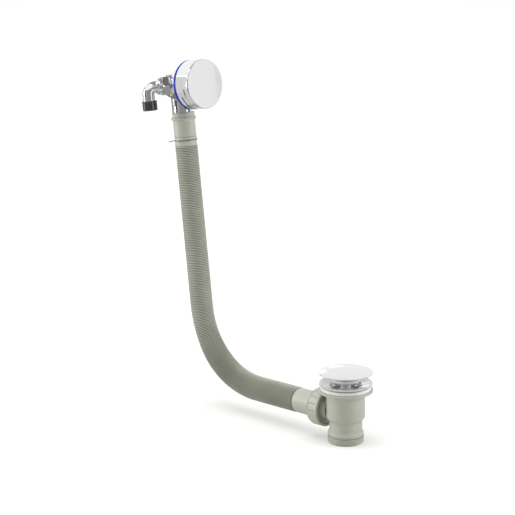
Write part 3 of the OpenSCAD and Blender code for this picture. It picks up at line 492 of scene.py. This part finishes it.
def makeUnionNut():
    n = nut
    r, back, front = n["outerR"], n["back"], n["back"] - n["length"]
    profile = rounded([
        (n["holeR"], back - 2.2, 0.3), (n["holeR"], back, 0.4), (r - 4.6, back, 0.5), (r - 1.0, back - 2.4, 0.5),
        (r, back - 5.4, 0.7), (r, front, 0.9),
        (n["threadBoreR"] + 1, front, 0.4), (n["threadBoreR"] + 1, front + 4.8, 0.2),
        (n["threadBoreR"], front + 5.4, 0.3), (n["threadBoreR"], back - 2.2, 0.4),
    ])
    low, high = front + 2.4, back - 6.2
    profile = densely(profile, front + 1, back - 5.5, 0.4, r)

    def grip(a, r0, h):
        # Grooves: r - depth*smooth(1 - |arc to the nearest groove|/half width), between low and high only;
        # serrations: a slanted ripple on the cone
        arc = (np.mod(a * n["grooves"] / (2 * np.pi) + 0.5, 1) - 0.5) * 2 * np.pi * r / n["grooves"]
        cut = np.clip(1.6 - np.abs(arc) / (n["grooveWidth"] / 2) * 1.6, 0, 1)
        ends = np.clip((h - low) / 0.6, 0, 1) * np.clip((high - h) / 0.6, 0, 1)
        outside = r0 > r - 0.3
        cone = np.clip((h - back + 5.6) / 0.4, 0, 1) * np.clip((back - 1.8 - h) / 0.5, 0, 1) * (r0 > r - 1.6)
        wave = np.sin(n["serrations"] * a + n["slant"] * (h - back))
        teeth = 0.5 + 0.5 * np.sign(wave) * np.abs(wave) ** 0.5
        return r0 - n["grooveDepth"] * cut * ends * outside - n["serrationDepth"] * teeth * cone

    coneRows = np.where((profile[:, 1] > back - 5.0) & (profile[:, 1] < back - 2.6) & (profile[:, 0] > r - 1.4))[0]
    dense = np.linspace(profile[coneRows[0]], profile[coneRows[-1]], 20)
    profile = np.vstack([profile[:coneRows[0]], dense, profile[coneRows[-1] + 1:]])
    makePiece("nut_moulded", [turned(sideAxis, profile, 576, grip)], "union_nut", "pale_plastic", 55)


makeUnionNut()

# Smooth tail between the nut and the hose, with a spigot that goes into the hose
tail = {"boreR": 12.0, "outerR": 16.65, "spigotR": 13.59, "start": 36.4, "shoulder": 80.6, "end": 98.6}
makePiece("tail_smooth", [turned(sideAxis, rounded([
    (tail["boreR"], tail["start"], 0.3), (tail["outerR"], tail["start"], 0.9), (tail["outerR"], tail["shoulder"], 0.6),
    (tail["spigotR"], tail["shoulder"], 0.1), (tail["spigotR"], tail["end"], 0.8), (tail["boreR"], tail["end"], 0.3),
]), 144)], "hose_tail", "pale_plastic")
print("union nut made")

# Route of the hose in the plane y = 0: a straight leg, one Bezier bend, a level run
hose = {
    "legLength": 224.0, "bendLead": 59.0, "bendRun": 62.0, "bendEndX": -155.0, "endX": -80.6,
    "crestR": 17.2, "grooveR": 14.9, "boreR": 14.1, "legDrop": 1.2,
    "cuffR": 15.4, "cuffLength": 12.3, "ribPitch": 2.34,
    "rowsPerRib": 8, "sides": 52,
}


def hoseRoute(lengths):
    # Points and headings at these lengths from the first rib, by interpolation on a dense polyline
    top = np.array(layout["hoseTop"])[[0, 2]]
    down = -leanUp[[0, 2]]
    bendStart = top + hose["legLength"] * down
    bendEnd = np.array([hose["bendEndX"], layout["sideInletZ"]])
    t = np.linspace(0, 1, 400)[:, None]
    bend = ((1 - t) ** 3 * bendStart + 3 * (1 - t) ** 2 * t * (bendStart + hose["bendLead"] * down)
            + 3 * (1 - t) * t ** 2 * (bendEnd - [hose["bendRun"], 0]) + t ** 3 * bendEnd)
    line = np.vstack([top - hose["cuffLength"] * down, bend, [hose["endX"], layout["sideInletZ"]]])
    along = np.concatenate([[0], np.cumsum(np.linalg.norm(np.diff(line, axis=0), axis=1))]) - hose["cuffLength"]
    bendLength = along[-2] - hose["legLength"]

    def at(s):
        return np.stack([np.interp(s, along, line[:, 0]), np.interp(s, along, line[:, 1])], -1)

    step = at(np.minimum(lengths + 0.5, along[-1])) - at(np.maximum(lengths - 0.5, along[0]))
    return at(lengths), step / np.linalg.norm(step, axis=1)[:, None], along[-1], bendLength


def makeHose():
    total, bendLength = hoseRoute(np.zeros(1))[2:]
    ribs = int(total / hose["ribPitch"])
    s = np.arange(ribs * hose["rowsPerRib"] + 1) / hose["rowsPerRib"] * hose["ribPitch"]
    # Each rib is a rounded crest with a narrower groove: radius = groove + depth*(0.5 - 0.5 cos(phase))^0.7.
    # The stretched straight leg's crests are lower, by a drop that eases out as 3t^2 - 2t^3 in the bend.
    phase = 2 * np.pi * s / hose["ribPitch"]
    t = np.clip((s - hose["legLength"]) / (0.6 * bendLength), 0, 1)
    depth = hose["crestR"] - hose["grooveR"] - hose["legDrop"] * (1 - t * t * (3 - 2 * t))
    ribbed = hose["grooveR"] + depth * (0.5 - 0.5 * np.cos(phase)) ** 0.7
    cuffS = np.array([0, 0.2, 0.6, 6, 11.6, 12.1]) - hose["cuffLength"]
    cuffR = hose["cuffR"] - np.array([0.6, 0.2, 0, 0, 0, 0.2])
    last = total - 0.05
    boreS = np.linspace(last, -hose["cuffLength"], 60)
    boreR = np.full(60, hose["boreR"])
    lengths = np.concatenate([cuffS, s[s < last], [last], boreS])
    radii = np.concatenate([cuffR, ribbed[s < last], [hose["grooveR"] + 0.6], boreR])
    centre, heading = hoseRoute(lengths)[:2]
    a = np.linspace(0, 2 * np.pi, hose["sides"], endpoint=False)
    u = radii[:, None] * np.cos(a)
    grid = np.stack([centre[:, :1] - u * heading[:, 1:], radii[:, None] * np.sin(a) + 0 * u,
                     centre[:, 1:] + u * heading[:, :1]], -1)
    # How deep each point lies in a groove, 0 on the crests and 1 at the bottom, for the painted groove shade in the
    # finish
    inGroove = np.clip((hose["grooveR"] + depth - ribbed) / depth, 0, 1)
    shade = np.concatenate([np.zeros(6), inGroove[s < last], np.zeros(61)])
    makePiece("hose_corrugated", [grid], "overflow_hose", "hose_plastic", 60, None,
              {"groove": np.repeat(shade, hose["sides"])})


makeHose()

# Socket on the outlet pipe, with its bead, and the wire clip on the hose's plain end
socket = {"outerR": 15.4, "boreR": 13.05, "tailR": 13.59, "tailBoreR": 11.6, "tailEnd": -18.0, "step": 12.5,
          "seamAt": 31.1, "length": 46.2, "beadAt": 38.0, "beadR": 2.4}


def makeSocket():
    k = socket
    r, bead, seam = k["outerR"], k["beadAt"], k["seamAt"]
    b = np.radians(np.linspace(-78, 78, 14))
    beadArc = np.stack([r - 0.3 + k["beadR"] * np.cos(b), bead + k["beadR"] * np.sin(b)], 1)
    lower = rounded([
        (k["tailBoreR"], k["tailEnd"], 0.3), (k["tailR"] - 0.8, k["tailEnd"], 0.3),
        (k["tailR"], k["tailEnd"] + 1.5, 0.3), (k["tailR"], k["step"], 0.1), (r, k["step"], 0.5),
        (r, seam - 0.3, 0.2), (r - 0.3, seam, 0.2), (r, seam + 0.3, 0.2), (r, bead - 2.9, 0.6),
    ])
    upper = rounded([
        (r + 0.2, bead + 2.9, 0.4), (r + 0.2, k["length"], 0.5), (k["boreR"], k["length"], 0.4),
        (k["boreR"], k["step"] + 2, 0.2), (k["tailBoreR"], k["step"] + 2, 0.2),
    ])
    makePiece("socket_moulded", [turned(hoseAxis, np.vstack([lower, beadArc, upper]), 144)],
              "hose_socket", "pale_plastic")


clip = {"wireR": 0.68, "ringR": 16.12, "up": 8.1, "first": 238.0, "sweep": 344.0, "tail": 9.0}


def makeClip():
    # Nearly a full turn of wire round the hose, then a straight tail that leaves it at a tangent
    origin, across, aside, along = hoseAxis
    first, last = np.radians([clip["first"], clip["first"] + clip["sweep"]])
    a = np.linspace(last, first, 120)
    out = np.cos(a)[:, None] * across + np.sin(a)[:, None] * aside
    ring = origin + clip["up"] * along + clip["ringR"] * out
    leave = ring[-1] - ring[-2]
    leave /= np.linalg.norm(leave)
    t = np.linspace(0, 1, 14)[1:, None]
    # The tail is the quadratic curve ring end, 1.8 mm on, 9 mm out along its own direction
    tailEnd = clip["tail"] * (0.78 * out[-1] + 0.61 * leave - 0.1 * along)
    tail = ring[-1] + 2 * t * (1 - t) * 1.8 * leave + t ** 2 * tailEnd
    path = np.vstack([ring[:1], ring, tail, tail[-1:]])
    path[0] -= 1e-3 * (ring[1] - ring[0])
    path[-1] += 1e-3 * (tail[-1] - tail[-2])
    normal = np.tile(along, (len(path), 1))
    radius = np.full(len(path), clip["wireR"])
    radius[[0, -1]] = 0
    makePiece("clip_wire", [swept(path, normal, radius, 14)], "wire_clip", "steel", 60)


makeSocket()
makeClip()
print("hose made")

# Head: chromed bell with its outlet pipe and inlet boss
head = {"rimR": 31.0, "backR": 15.0, "front": 20.7, "back": 21.0, "wall": 2.6, "rim": 3.0, "pipeR": 14.8,
        "spigotR": 12.9, "bossR": 15.03, "ductR": 9.2}


def makeBell():
    k = head
    bell = rounded([
        (0, -k["back"], 0), (k["backR"], -k["back"], 1.6), (k["rimR"] - 0.4, k["front"] - k["rim"], 0.8),
        (k["rimR"], k["front"] - k["rim"] + 0.4, 0.3), (k["rimR"], k["front"], 0.5),
        (k["rimR"] - 4, k["front"], 0.4), (k["rimR"] - 4, k["front"] - k["rim"], 0.6),
        (k["backR"] - 3.2, -k["back"] + k["wall"], 0.8), (0, -k["back"] + k["wall"], 0),
    ])
    pipe = rounded([
        (10.5, 14.5, 0.3), (k["spigotR"], 14.5, 0.5), (k["spigotR"], 37, 0.05), (k["spigotR"] - 1.6, 37, 0.1),
        (k["spigotR"] - 1.6, 39, 0.1), (k["spigotR"], 39, 0.05), (k["spigotR"], 46.5, 0.05),
        (k["pipeR"], 46.5, 0.4), (k["pipeR"], 67.5, 0.2), (10.5, 67.5, 0.2),
    ])
    boss = rounded([(5.0, 0, 0), (k["ductR"], 0, 0), (k["ductR"], 16.7, 0.6), (k["bossR"], 17.5, 2.0),
                    (k["bossR"], 25.7, 0.9), (6.85, 25.7, 0.3), (6.85, 14, 0.2), (5.0, 14, 0.2)])
    hubBoss = rounded([(5.0, 2, 0.2), (11.2, 2, 0.3), (11.2, 18, 0.5), (8.02, 18, 0.3), (8.02, 6, 0.2),
                       (5.0, 6, 0.2)])
    shells = [turned(headAxis, bell, 176), turned(hoseAxis, pipe, 144), turned(inletAxis, boss, 120),
              turned(headAxis, hubBoss, 96)]
    for side in (-1, 1):
        place = axesAt(hub + side * 21 * yAxis, headOut, -headUp)
        shells.append(turned(place, rounded([(2.52, 6, 0.2), (4.4, 6, 0.3), (4.4, 20.2, 0.3), (2.52, 20.2, 0.2)]), 48))
    makePiece("body_cast", shells, "head_body", "chrome")


hexNut = {"flat": 12.5, "low": 26.0, "high": 35.0, "tailR": 7.0, "threadR": 10.15, "floor": 28.4}


def makeHexNut():
    # Hexagon: r is the smaller of the turned, chamfered profile and flat/cos(angle to the nearest flat's middle)
    k = hexNut
    flat, low, high = k["flat"], k["low"], k["high"]
    corner = flat / np.cos(np.radians(30))
    profile = rounded([
        (k["tailR"], low, 0.2), (corner - 1.7, low, 0.3), (corner, low + 1.1, 0.3), (corner, high - 1.1, 0.3),
        (corner - 1.7, high, 0.3), (k["threadR"], high, 0.3), (k["threadR"], k["floor"], 0.2),
        (k["tailR"], k["floor"], 0.2),
    ], 4)
    dense = []
    for first, second in zip(profile, np.roll(profile, -1, axis=0)):
        count = max(int(np.linalg.norm(second - first) / 0.3), 1)
        dense.append(first + (second - first) * np.linspace(0, 1, count, endpoint=False)[:, None])
    profile = np.vstack(dense)

    def hexagon(a, r, h):
        limit = flat / np.cos(np.mod(a + np.pi / 6, np.pi / 3) - np.pi / 6)
        softened = np.minimum(r, limit) - 0.06 * np.exp(-np.abs(limit - r) / 0.12)
        return np.where(r > flat - 1.5, softened, r)

    makePiece("nut_hexagon", [turned(inletAxis, profile, 360, hexagon)], "inlet_nut", "chrome", 28)


# Elbow: flared collar, a tube carried round a quarter turn, and the threaded supply end, darkened with painted shade
elbow = {"tubeR": 8.5, "boreR": 6.0, "cornerR": 9.3, "collarR": 11.6, "start": 31.8, "drop": 31.5,
         "supplyR": 10.48, "supplyLength": 13.5, "threadPitch": 1.814, "threadDepth": 0.025}


def makeElbow():
    k = elbow
    reach = layout["elbowReach"]
    turn = np.linspace(0, np.pi / 2, 40)
    corner = inletHub + (reach - k["cornerR"]) * inletOut - k["cornerR"] * headUp
    arc = corner + k["cornerR"] * (np.sin(turn)[:, None] * inletOut + np.cos(turn)[:, None] * headUp)
    arcNormal = np.sin(turn)[:, None] * inletOut + np.cos(turn)[:, None] * headUp
    runIn = np.linspace(k["start"] + 10.5, reach - k["cornerR"], 8)[:-1]
    runOut = np.linspace(k["cornerR"], k["drop"] - k["supplyLength"] + 0.4, 8)[1:]
    path = np.vstack([inletHub + runIn[:, None] * inletOut, arc,
                      inletHub + reach * inletOut - runOut[:, None] * headUp])
    normal = np.vstack([np.tile(headUp, (len(runIn), 1)), arcNormal, np.tile(inletOut, (len(runOut), 1))])
    outer, inner = swept(path, normal, k["tubeR"], 96), swept(path, normal, k["boreR"], 96)
    tube = np.concatenate([outer, inner[::-1]])
    n, start = 35.0, k["start"]
    collar = rounded([
        (k["boreR"], start, 0.2), (10.0, start, 0.3), (10.0, n + 0.2, 0.1), (k["collarR"], n + 0.2, 0.5),
        (k["collarR"], n + 4.4, 1.2), (k["tubeR"] + 0.5, n + 7.4, 1.6), (k["tubeR"], n + 8.6, 0.6),
        (k["tubeR"], n + 9.4, 0.05), (k["boreR"], n + 9.4, 0.05),
    ], 8)
    makePiece("elbow_cast", [tube, turned(inletAxis, collar, 144)], "inlet_elbow", "chrome")
    low, high, r = k["drop"] - k["supplyLength"], k["drop"], k["supplyR"]
    sleeve = rounded([
        (k["boreR"], low, 0.2), (r, low, 0.5), (r, low + 1.6, 0.2), (r - 0.35, low + 1.9, 0.2),
        (r - 0.35, high - 1.2, 0.3), (r - 1.0, high, 0.5), (k["boreR"], high, 0.3),
    ])
    sleeve = densely(sleeve, low + 2, high - 1.2, 0.14, r - 0.35)
    thread = screwThread(low + 2.4, high - 1.3, r - 0.35, k["threadDepth"], k["threadPitch"])
    # The thread is barely cut; the shade of the thread is painted into the supply end's dark finish
    makePiece("supply_end", [turned(supplyAxis, sleeve, 168, thread)], "inlet_elbow", "chrome", 40, "thread_shaded_nickel")


makeBell()
makeHexNut()
makeElbow()

# Seal between the body and the cap
seal = {"boreR": 25.5, "backR": 31.0, "outerR": 33.9, "back": 20.7, "front": 24.7}
makePiece("wall_ring", [turned(headAxis, rounded([
    (seal["boreR"], seal["back"], 0.3), (seal["backR"], seal["back"], 0.3),
    (seal["backR"] + 0.4, seal["back"] + 0.2, 0.1), (seal["outerR"], seal["back"] + 0.4, 0.4),
    (seal["outerR"], seal["front"], 0.3), (seal["boreR"], seal["front"], 0.3),
]), 192)], "wall_seal", "blue_seal")

# Cap: its side and face are one surface; the recess and the slot are drawn into it
cap = {"outerR": 34.0, "innerR": 31.9, "back": 24.9, "face": 48.1, "edge": 1.3, "recessFrom": 38.5,
       "recessTo": 45.6, "recessDepth": 1.2, "recessStart": 7.0, "slotFrom": 31.3, "slotWidth": 1.9,
       "slotStart": 25.0}


def makeCap():
    k = cap
    r, face = k["outerR"], k["face"]
    b = np.radians(np.linspace(0, 90, 12))
    edge = np.stack([r - k["edge"] + k["edge"] * np.cos(b), face - k["edge"] + k["edge"] * np.sin(b)], 1)
    tight = np.array([-0.35, -0.1, 0.0, 0.1, 0.35])
    levels = np.unique(np.round(np.concatenate([
        [k["back"] + 0.4, 27, 29], k["slotFrom"] + tight, k["slotFrom"] + k["slotWidth"] + tight, [35, 36.5],
        k["recessFrom"] + tight, [41, 43], k["recessTo"] + tight]), 3))
    inner = levels[levels < face - 2.6][::-1]
    profile = np.vstack([
        [[0, face - 2.4], [k["innerR"] - 0.5, face - 2.4], [k["innerR"], face - 2.4]],
        np.stack([np.full(len(inner), k["innerR"]), inner], 1),
        [[k["innerR"], k["back"]], [r - 0.3, k["back"]]],
        np.stack([np.full(len(levels), r), levels], 1), edge,
        [[r - k["edge"] - 0.3, face], [24, face], [12, face], [0, face]]])
    # Angles run from straight down, 0; the columns crowd at the ends of the recess and the slot
    spans = [90 - k["recessStart"], 90 - k["slotStart"]]
    ends = np.concatenate([s * span + np.array([-0.5, -0.15, 0, 0.15, 0.5]) for span in spans for s in (-1, 1)])
    a = np.radians(np.unique(np.round(np.concatenate([np.arange(-180, 180, 1.5), ends]), 3)))[None]
    radius, h = profile[:, :1] + 0 * a, profile[:, 1:] + 0 * a
    inRecess = (np.abs(a) < np.radians(spans[0])) & (h > k["recessFrom"] - 0.01) & (h < k["recessTo"] + 0.01)
    radius = np.where(inRecess & (radius > r - 0.1), r - k["recessDepth"], radius)
    origin, across, aside, along = headAxis
    grid = (origin + (radius * np.cos(a))[..., None] * across + (radius * np.sin(a))[..., None] * aside
            + h[..., None] * along)
    points, quads = gridShell(grid, False)
    # The slot goes right through: both walls' quads inside it are left out, and a strip joins their edges
    corner = [v.ravel()[quads].mean(1) for v in (np.abs(a) + 0 * h, h, radius)]
    inSlot = ((corner[0] < np.radians(spans[1])) & (corner[1] > k["slotFrom"])
              & (corner[1] < k["slotFrom"] + k["slotWidth"]) & (corner[2] > k["innerR"] - 0.05))
    mesh = bpy.data.meshes.new("cap_turned")
    mesh.from_pydata((points * mm).tolist(), [], quads[~inSlot].tolist())
    obj = bpy.data.objects.new("cap_turned", mesh)
    bpy.context.scene.collection.objects.link(obj)
    work = bmesh.new()
    work.from_mesh(mesh)
    bmesh.ops.remove_doubles(work, verts=work.verts, dist=0.002 * mm)
    bmesh.ops.bridge_loops(work, edges=[e for e in work.edges if e.is_boundary])
    work.to_mesh(mesh)
    work.free()
    finishPiece(obj, "overflow_cap", "chrome", 35)


makeCap()
print("head made")

# The inner pieces keep their CAD shape. The screw and the post in the drain are plated like the parts round them.
innerFinishes = {"clamp_screw": "milky_chrome", "click_post": "milky_chrome"}
for part in frame["record"]["subparts"]:
    if part["node"] not in replaced:
        smoothCopy(part["node"], part["material_slot"], finish=innerFinishes.get(part["node"]))
print("inner pieces smoothed")

# Studio: a pale floor, a plain white surround, soft lamps, and cards that only reflections see
studio = {"floorColour": "#DEDEDC", "glowNear": 0.27, "glowFar": 0.69, "floorSize": 12.0, "surroundLight": 0.46}
cardRing = {"centre": (-0.29, 0.0), "radius": 0.9, "facing": -44.5}


def rayKinds(tree):
    # 1 where the camera, a mirror or glass looks, 0 where light only falls
    rays = addNode(tree, "ShaderNodeLightPath")
    seen = addNode(tree, "ShaderNodeMath", None, {0: rays.outputs["Is Camera Ray"], 1: rays.outputs["Is Glossy Ray"]},
                   operation="MAXIMUM")
    return addNode(tree, "ShaderNodeMath", None, {0: seen.outputs[0], 1: rays.outputs["Is Transmission Ray"]},
                   operation="MAXIMUM").outputs[0]


def makeSheet(name, grid):
    # An open sheet of quads through a grid of points in metres
    rows, columns = grid.shape[:2]
    index = np.arange(rows * columns).reshape(rows, columns)
    quads = np.stack([index[:-1, :-1], index[:-1, 1:], index[1:, 1:], index[1:, :-1]], -1).reshape(-1, 4)
    mesh = bpy.data.meshes.new(name)
    mesh.from_pydata(grid.reshape(-1, 3).tolist(), [], quads.tolist())
    obj = bpy.data.objects.new(name, mesh)
    bpy.context.scene.collection.objects.link(obj)
    material = bpy.data.materials.new(name)
    material.use_nodes = True
    material.node_tree.nodes.clear()
    mesh.materials.append(material)
    return obj, material.node_tree


def makeFloor():
    # Painted board: lit by the lamps, with a glow that only the camera and mirrors see, so that it reads white.
    # The glow is weaker near the object, where the lamps do more, and so keeps its shadow.
    half = studio["floorSize"] / 2
    corners = [[(-half, -half, 0), (half, -half, 0)], [(-half, half, 0), (half, half, 0)]]
    tree = makeSheet("floorPaintedBoard", np.array(corners))[1]
    board = addNode(tree, "ShaderNodeBsdfDiffuse", {"Color": hexColour(studio["floorColour"])})
    place = addNode(tree, "ShaderNodeTexCoord").outputs["Object"]
    away = addNode(tree, "ShaderNodeVectorMath", None, {0: place}, operation="LENGTH")
    glowAt = addNode(tree, "ShaderNodeMapRange", {"From Min": 0.2, "From Max": 1.9, "To Min": studio["glowNear"],
                                                  "To Max": studio["glowFar"]}, {"Value": away.outputs["Value"]})
    strength = addNode(tree, "ShaderNodeMath", None, {0: rayKinds(tree), 1: glowAt.outputs["Result"]},
                       operation="MULTIPLY")
    glow = addNode(tree, "ShaderNodeEmission", None, {"Strength": strength.outputs[0]})
    both = addNode(tree, "ShaderNodeAddShader", None, {0: board.outputs[0], 1: glow.outputs[0]})
    addNode(tree, "ShaderNodeOutputMaterial", None, {"Surface": both.outputs[0]})


def makeSurround():
    # White to the camera and in mirrors, softer as a light on everything else
    world = bpy.data.worlds.new("surround")
    bpy.context.scene.world = world
    world.use_nodes = True
    tree = world.node_tree
    tree.nodes.clear()
    strength = addNode(tree, "ShaderNodeMapRange", {"To Min": studio["surroundLight"], "To Max": 1.0},
                       {"Value": rayKinds(tree)})
    sky = addNode(tree, "ShaderNodeBackground", {"Color": (1, 1, 1, 1)}, {"Strength": strength.outputs["Result"]})
    addNode(tree, "ShaderNodeOutputWorld", None, {"Surface": sky.outputs[0]})


def makeCard(name, grid, grey):
    # Card that glows at a constant grey and shows in reflections only: painted reflections on the metals
    obj, tree = makeSheet(name, grid)
    glow = addNode(tree, "ShaderNodeEmission", {"Color": (grey, grey, grey, 1), "Strength": 1.0})
    addNode(tree, "ShaderNodeOutputMaterial", None, {"Surface": glow.outputs[0]})
    obj.visible_camera = obj.visible_diffuse = obj.visible_transmission = obj.visible_shadow = False


def uprightCard(name, first, last, grey, slant=0.0, out=0.0, low=0.004, high=0.85):
    # Part of an upright ring round the head: azimuths in degrees to the right of the camera's side, where slant
    # moves the top edge round
    k = cardRing
    up = np.linspace(0, 1, 6)[:, None]
    a = np.radians(k["facing"] + np.linspace(first, last, 24)[None] + slant * up)
    r = k["radius"] + out
    x, y = k["centre"][0] + r * np.cos(a), k["centre"][1] + r * np.sin(a)
    makeCard(name, np.stack([x, y, low + (high - low) * up + 0 * a], -1), grey)


def tableCard(name, low, high, z, grey):
    corners = [[(low[0], low[1], z), (high[0], low[1], z)], [(low[0], high[1], z), (high[0], high[1], z)]]
    makeCard(name, np.array(corners), grey)


def makeLamp(name, place, target, size, power):
    lamp = bpy.data.lights.new(name, "AREA")
    lamp.shape, lamp.size, lamp.energy = "SQUARE", size, power
    obj = bpy.data.objects.new(name, lamp)
    bpy.context.scene.collection.objects.link(obj)
    obj.location = place
    aim = Vector(np.subtract(target, place).tolist())
    obj.rotation_euler = aim.to_track_quat("-Z", "Y").to_euler()


makeFloor()
makeSurround()
uprightCard("cardCapSide", -105, -87, 0.68)
uprightCard("cardFarLeft", -134, -108, 0.3)
uprightCard("cardDarkLeft", -84, -57, 0.1)
uprightCard("cardPaleLeft", -57, -39, 0.42)
uprightCard("cardMiddle", -39, 36, 0.26)
uprightCard("cardDarkRight", 57, 80, 0.07)
uprightCard("cardFace", 80, 100, 0.87)
uprightCard("cardFaceEdge", 86.1, 104, 0.76, 4.5, -0.02)
uprightCard("cardBelowBell", -180, -134, 0.2, 0, -0.6, 0.25, 0.435)
uprightCard("cardAboveElbow", 10, 60, 0.5, 0, -0.1, 0.6, 1.5)
# Bright panes that give the dome its two highlights
uprightCard("paneLow", 164.5, 168.5, 1.7, 2, 0.42, 0.14, 0.34)
uprightCard("paneHigh", 172, 179, 1.7, 2, 0.39, 0.4, 0.7)
tableCard("cardTable", (-1.5, -1.5), (1.5, 1.5), 0.0005, 0.6)
tableCard("cardUnderHead", (-0.33, -0.1), (0.1, 0.15), 0.001, 0.3)
tableCard("cardOverHead", (-1.25, -0.5), (0.2, 1.3), 1.65, 0.3)
tableCard("cardOverNut", (0.2, -0.6), (1.3, 0.3), 1.65, 0.14)
aim = (-0.15, 0, 0.25)
makeLamp("softboxLeft", (-2.1, -1.7, 0.75), aim, 1.5, 41)
makeLamp("softboxRight", (1.3, 1.0, 0.7), aim, 1.0, 18)
makeLamp("softboxTop", (-0.2, -0.1, 1.9), aim, 1.4, 19)


# Camera at the photograph's own place: millimetres and degrees, worked out from the photograph's shapes
camera = {
    "place": (1301.3, -1562.1, 730.9), "yaw": 42.99, "pitch": 13.32, "roll": 0.74,
    "focalPixels": 1624.7, "picturePixels": 515,
}


def makeCamera():
    data = bpy.data.cameras.new("camera")
    data.sensor_width = 36.0
    data.lens = camera["focalPixels"] / camera["picturePixels"] * data.sensor_width
    data.clip_start, data.clip_end = 0.05, 50
    obj = bpy.data.objects.new("camera", data)
    bpy.context.scene.collection.objects.link(obj)
    yaw, pitch, roll = (np.radians(camera[k]) for k in ("yaw", "pitch", "roll"))
    ahead = np.array([-np.sin(yaw) * np.cos(pitch), np.cos(yaw) * np.cos(pitch), -np.sin(pitch)])
    right = np.array([np.cos(yaw), np.sin(yaw), 0])
    down = np.cross(ahead, right)
    right, down = np.cos(roll) * right + np.sin(roll) * down, np.cos(roll) * down - np.sin(roll) * right
    turn = Matrix([list(row) for row in np.stack([right, -down, -ahead], 1)])
    obj.matrix_world = Matrix.Translation([v * mm for v in camera["place"]]) @ turn.to_4x4()
    bpy.context.scene.camera = obj


makeCamera()
bpy.context.scene.view_settings.view_transform = "Standard"
print("studio made")
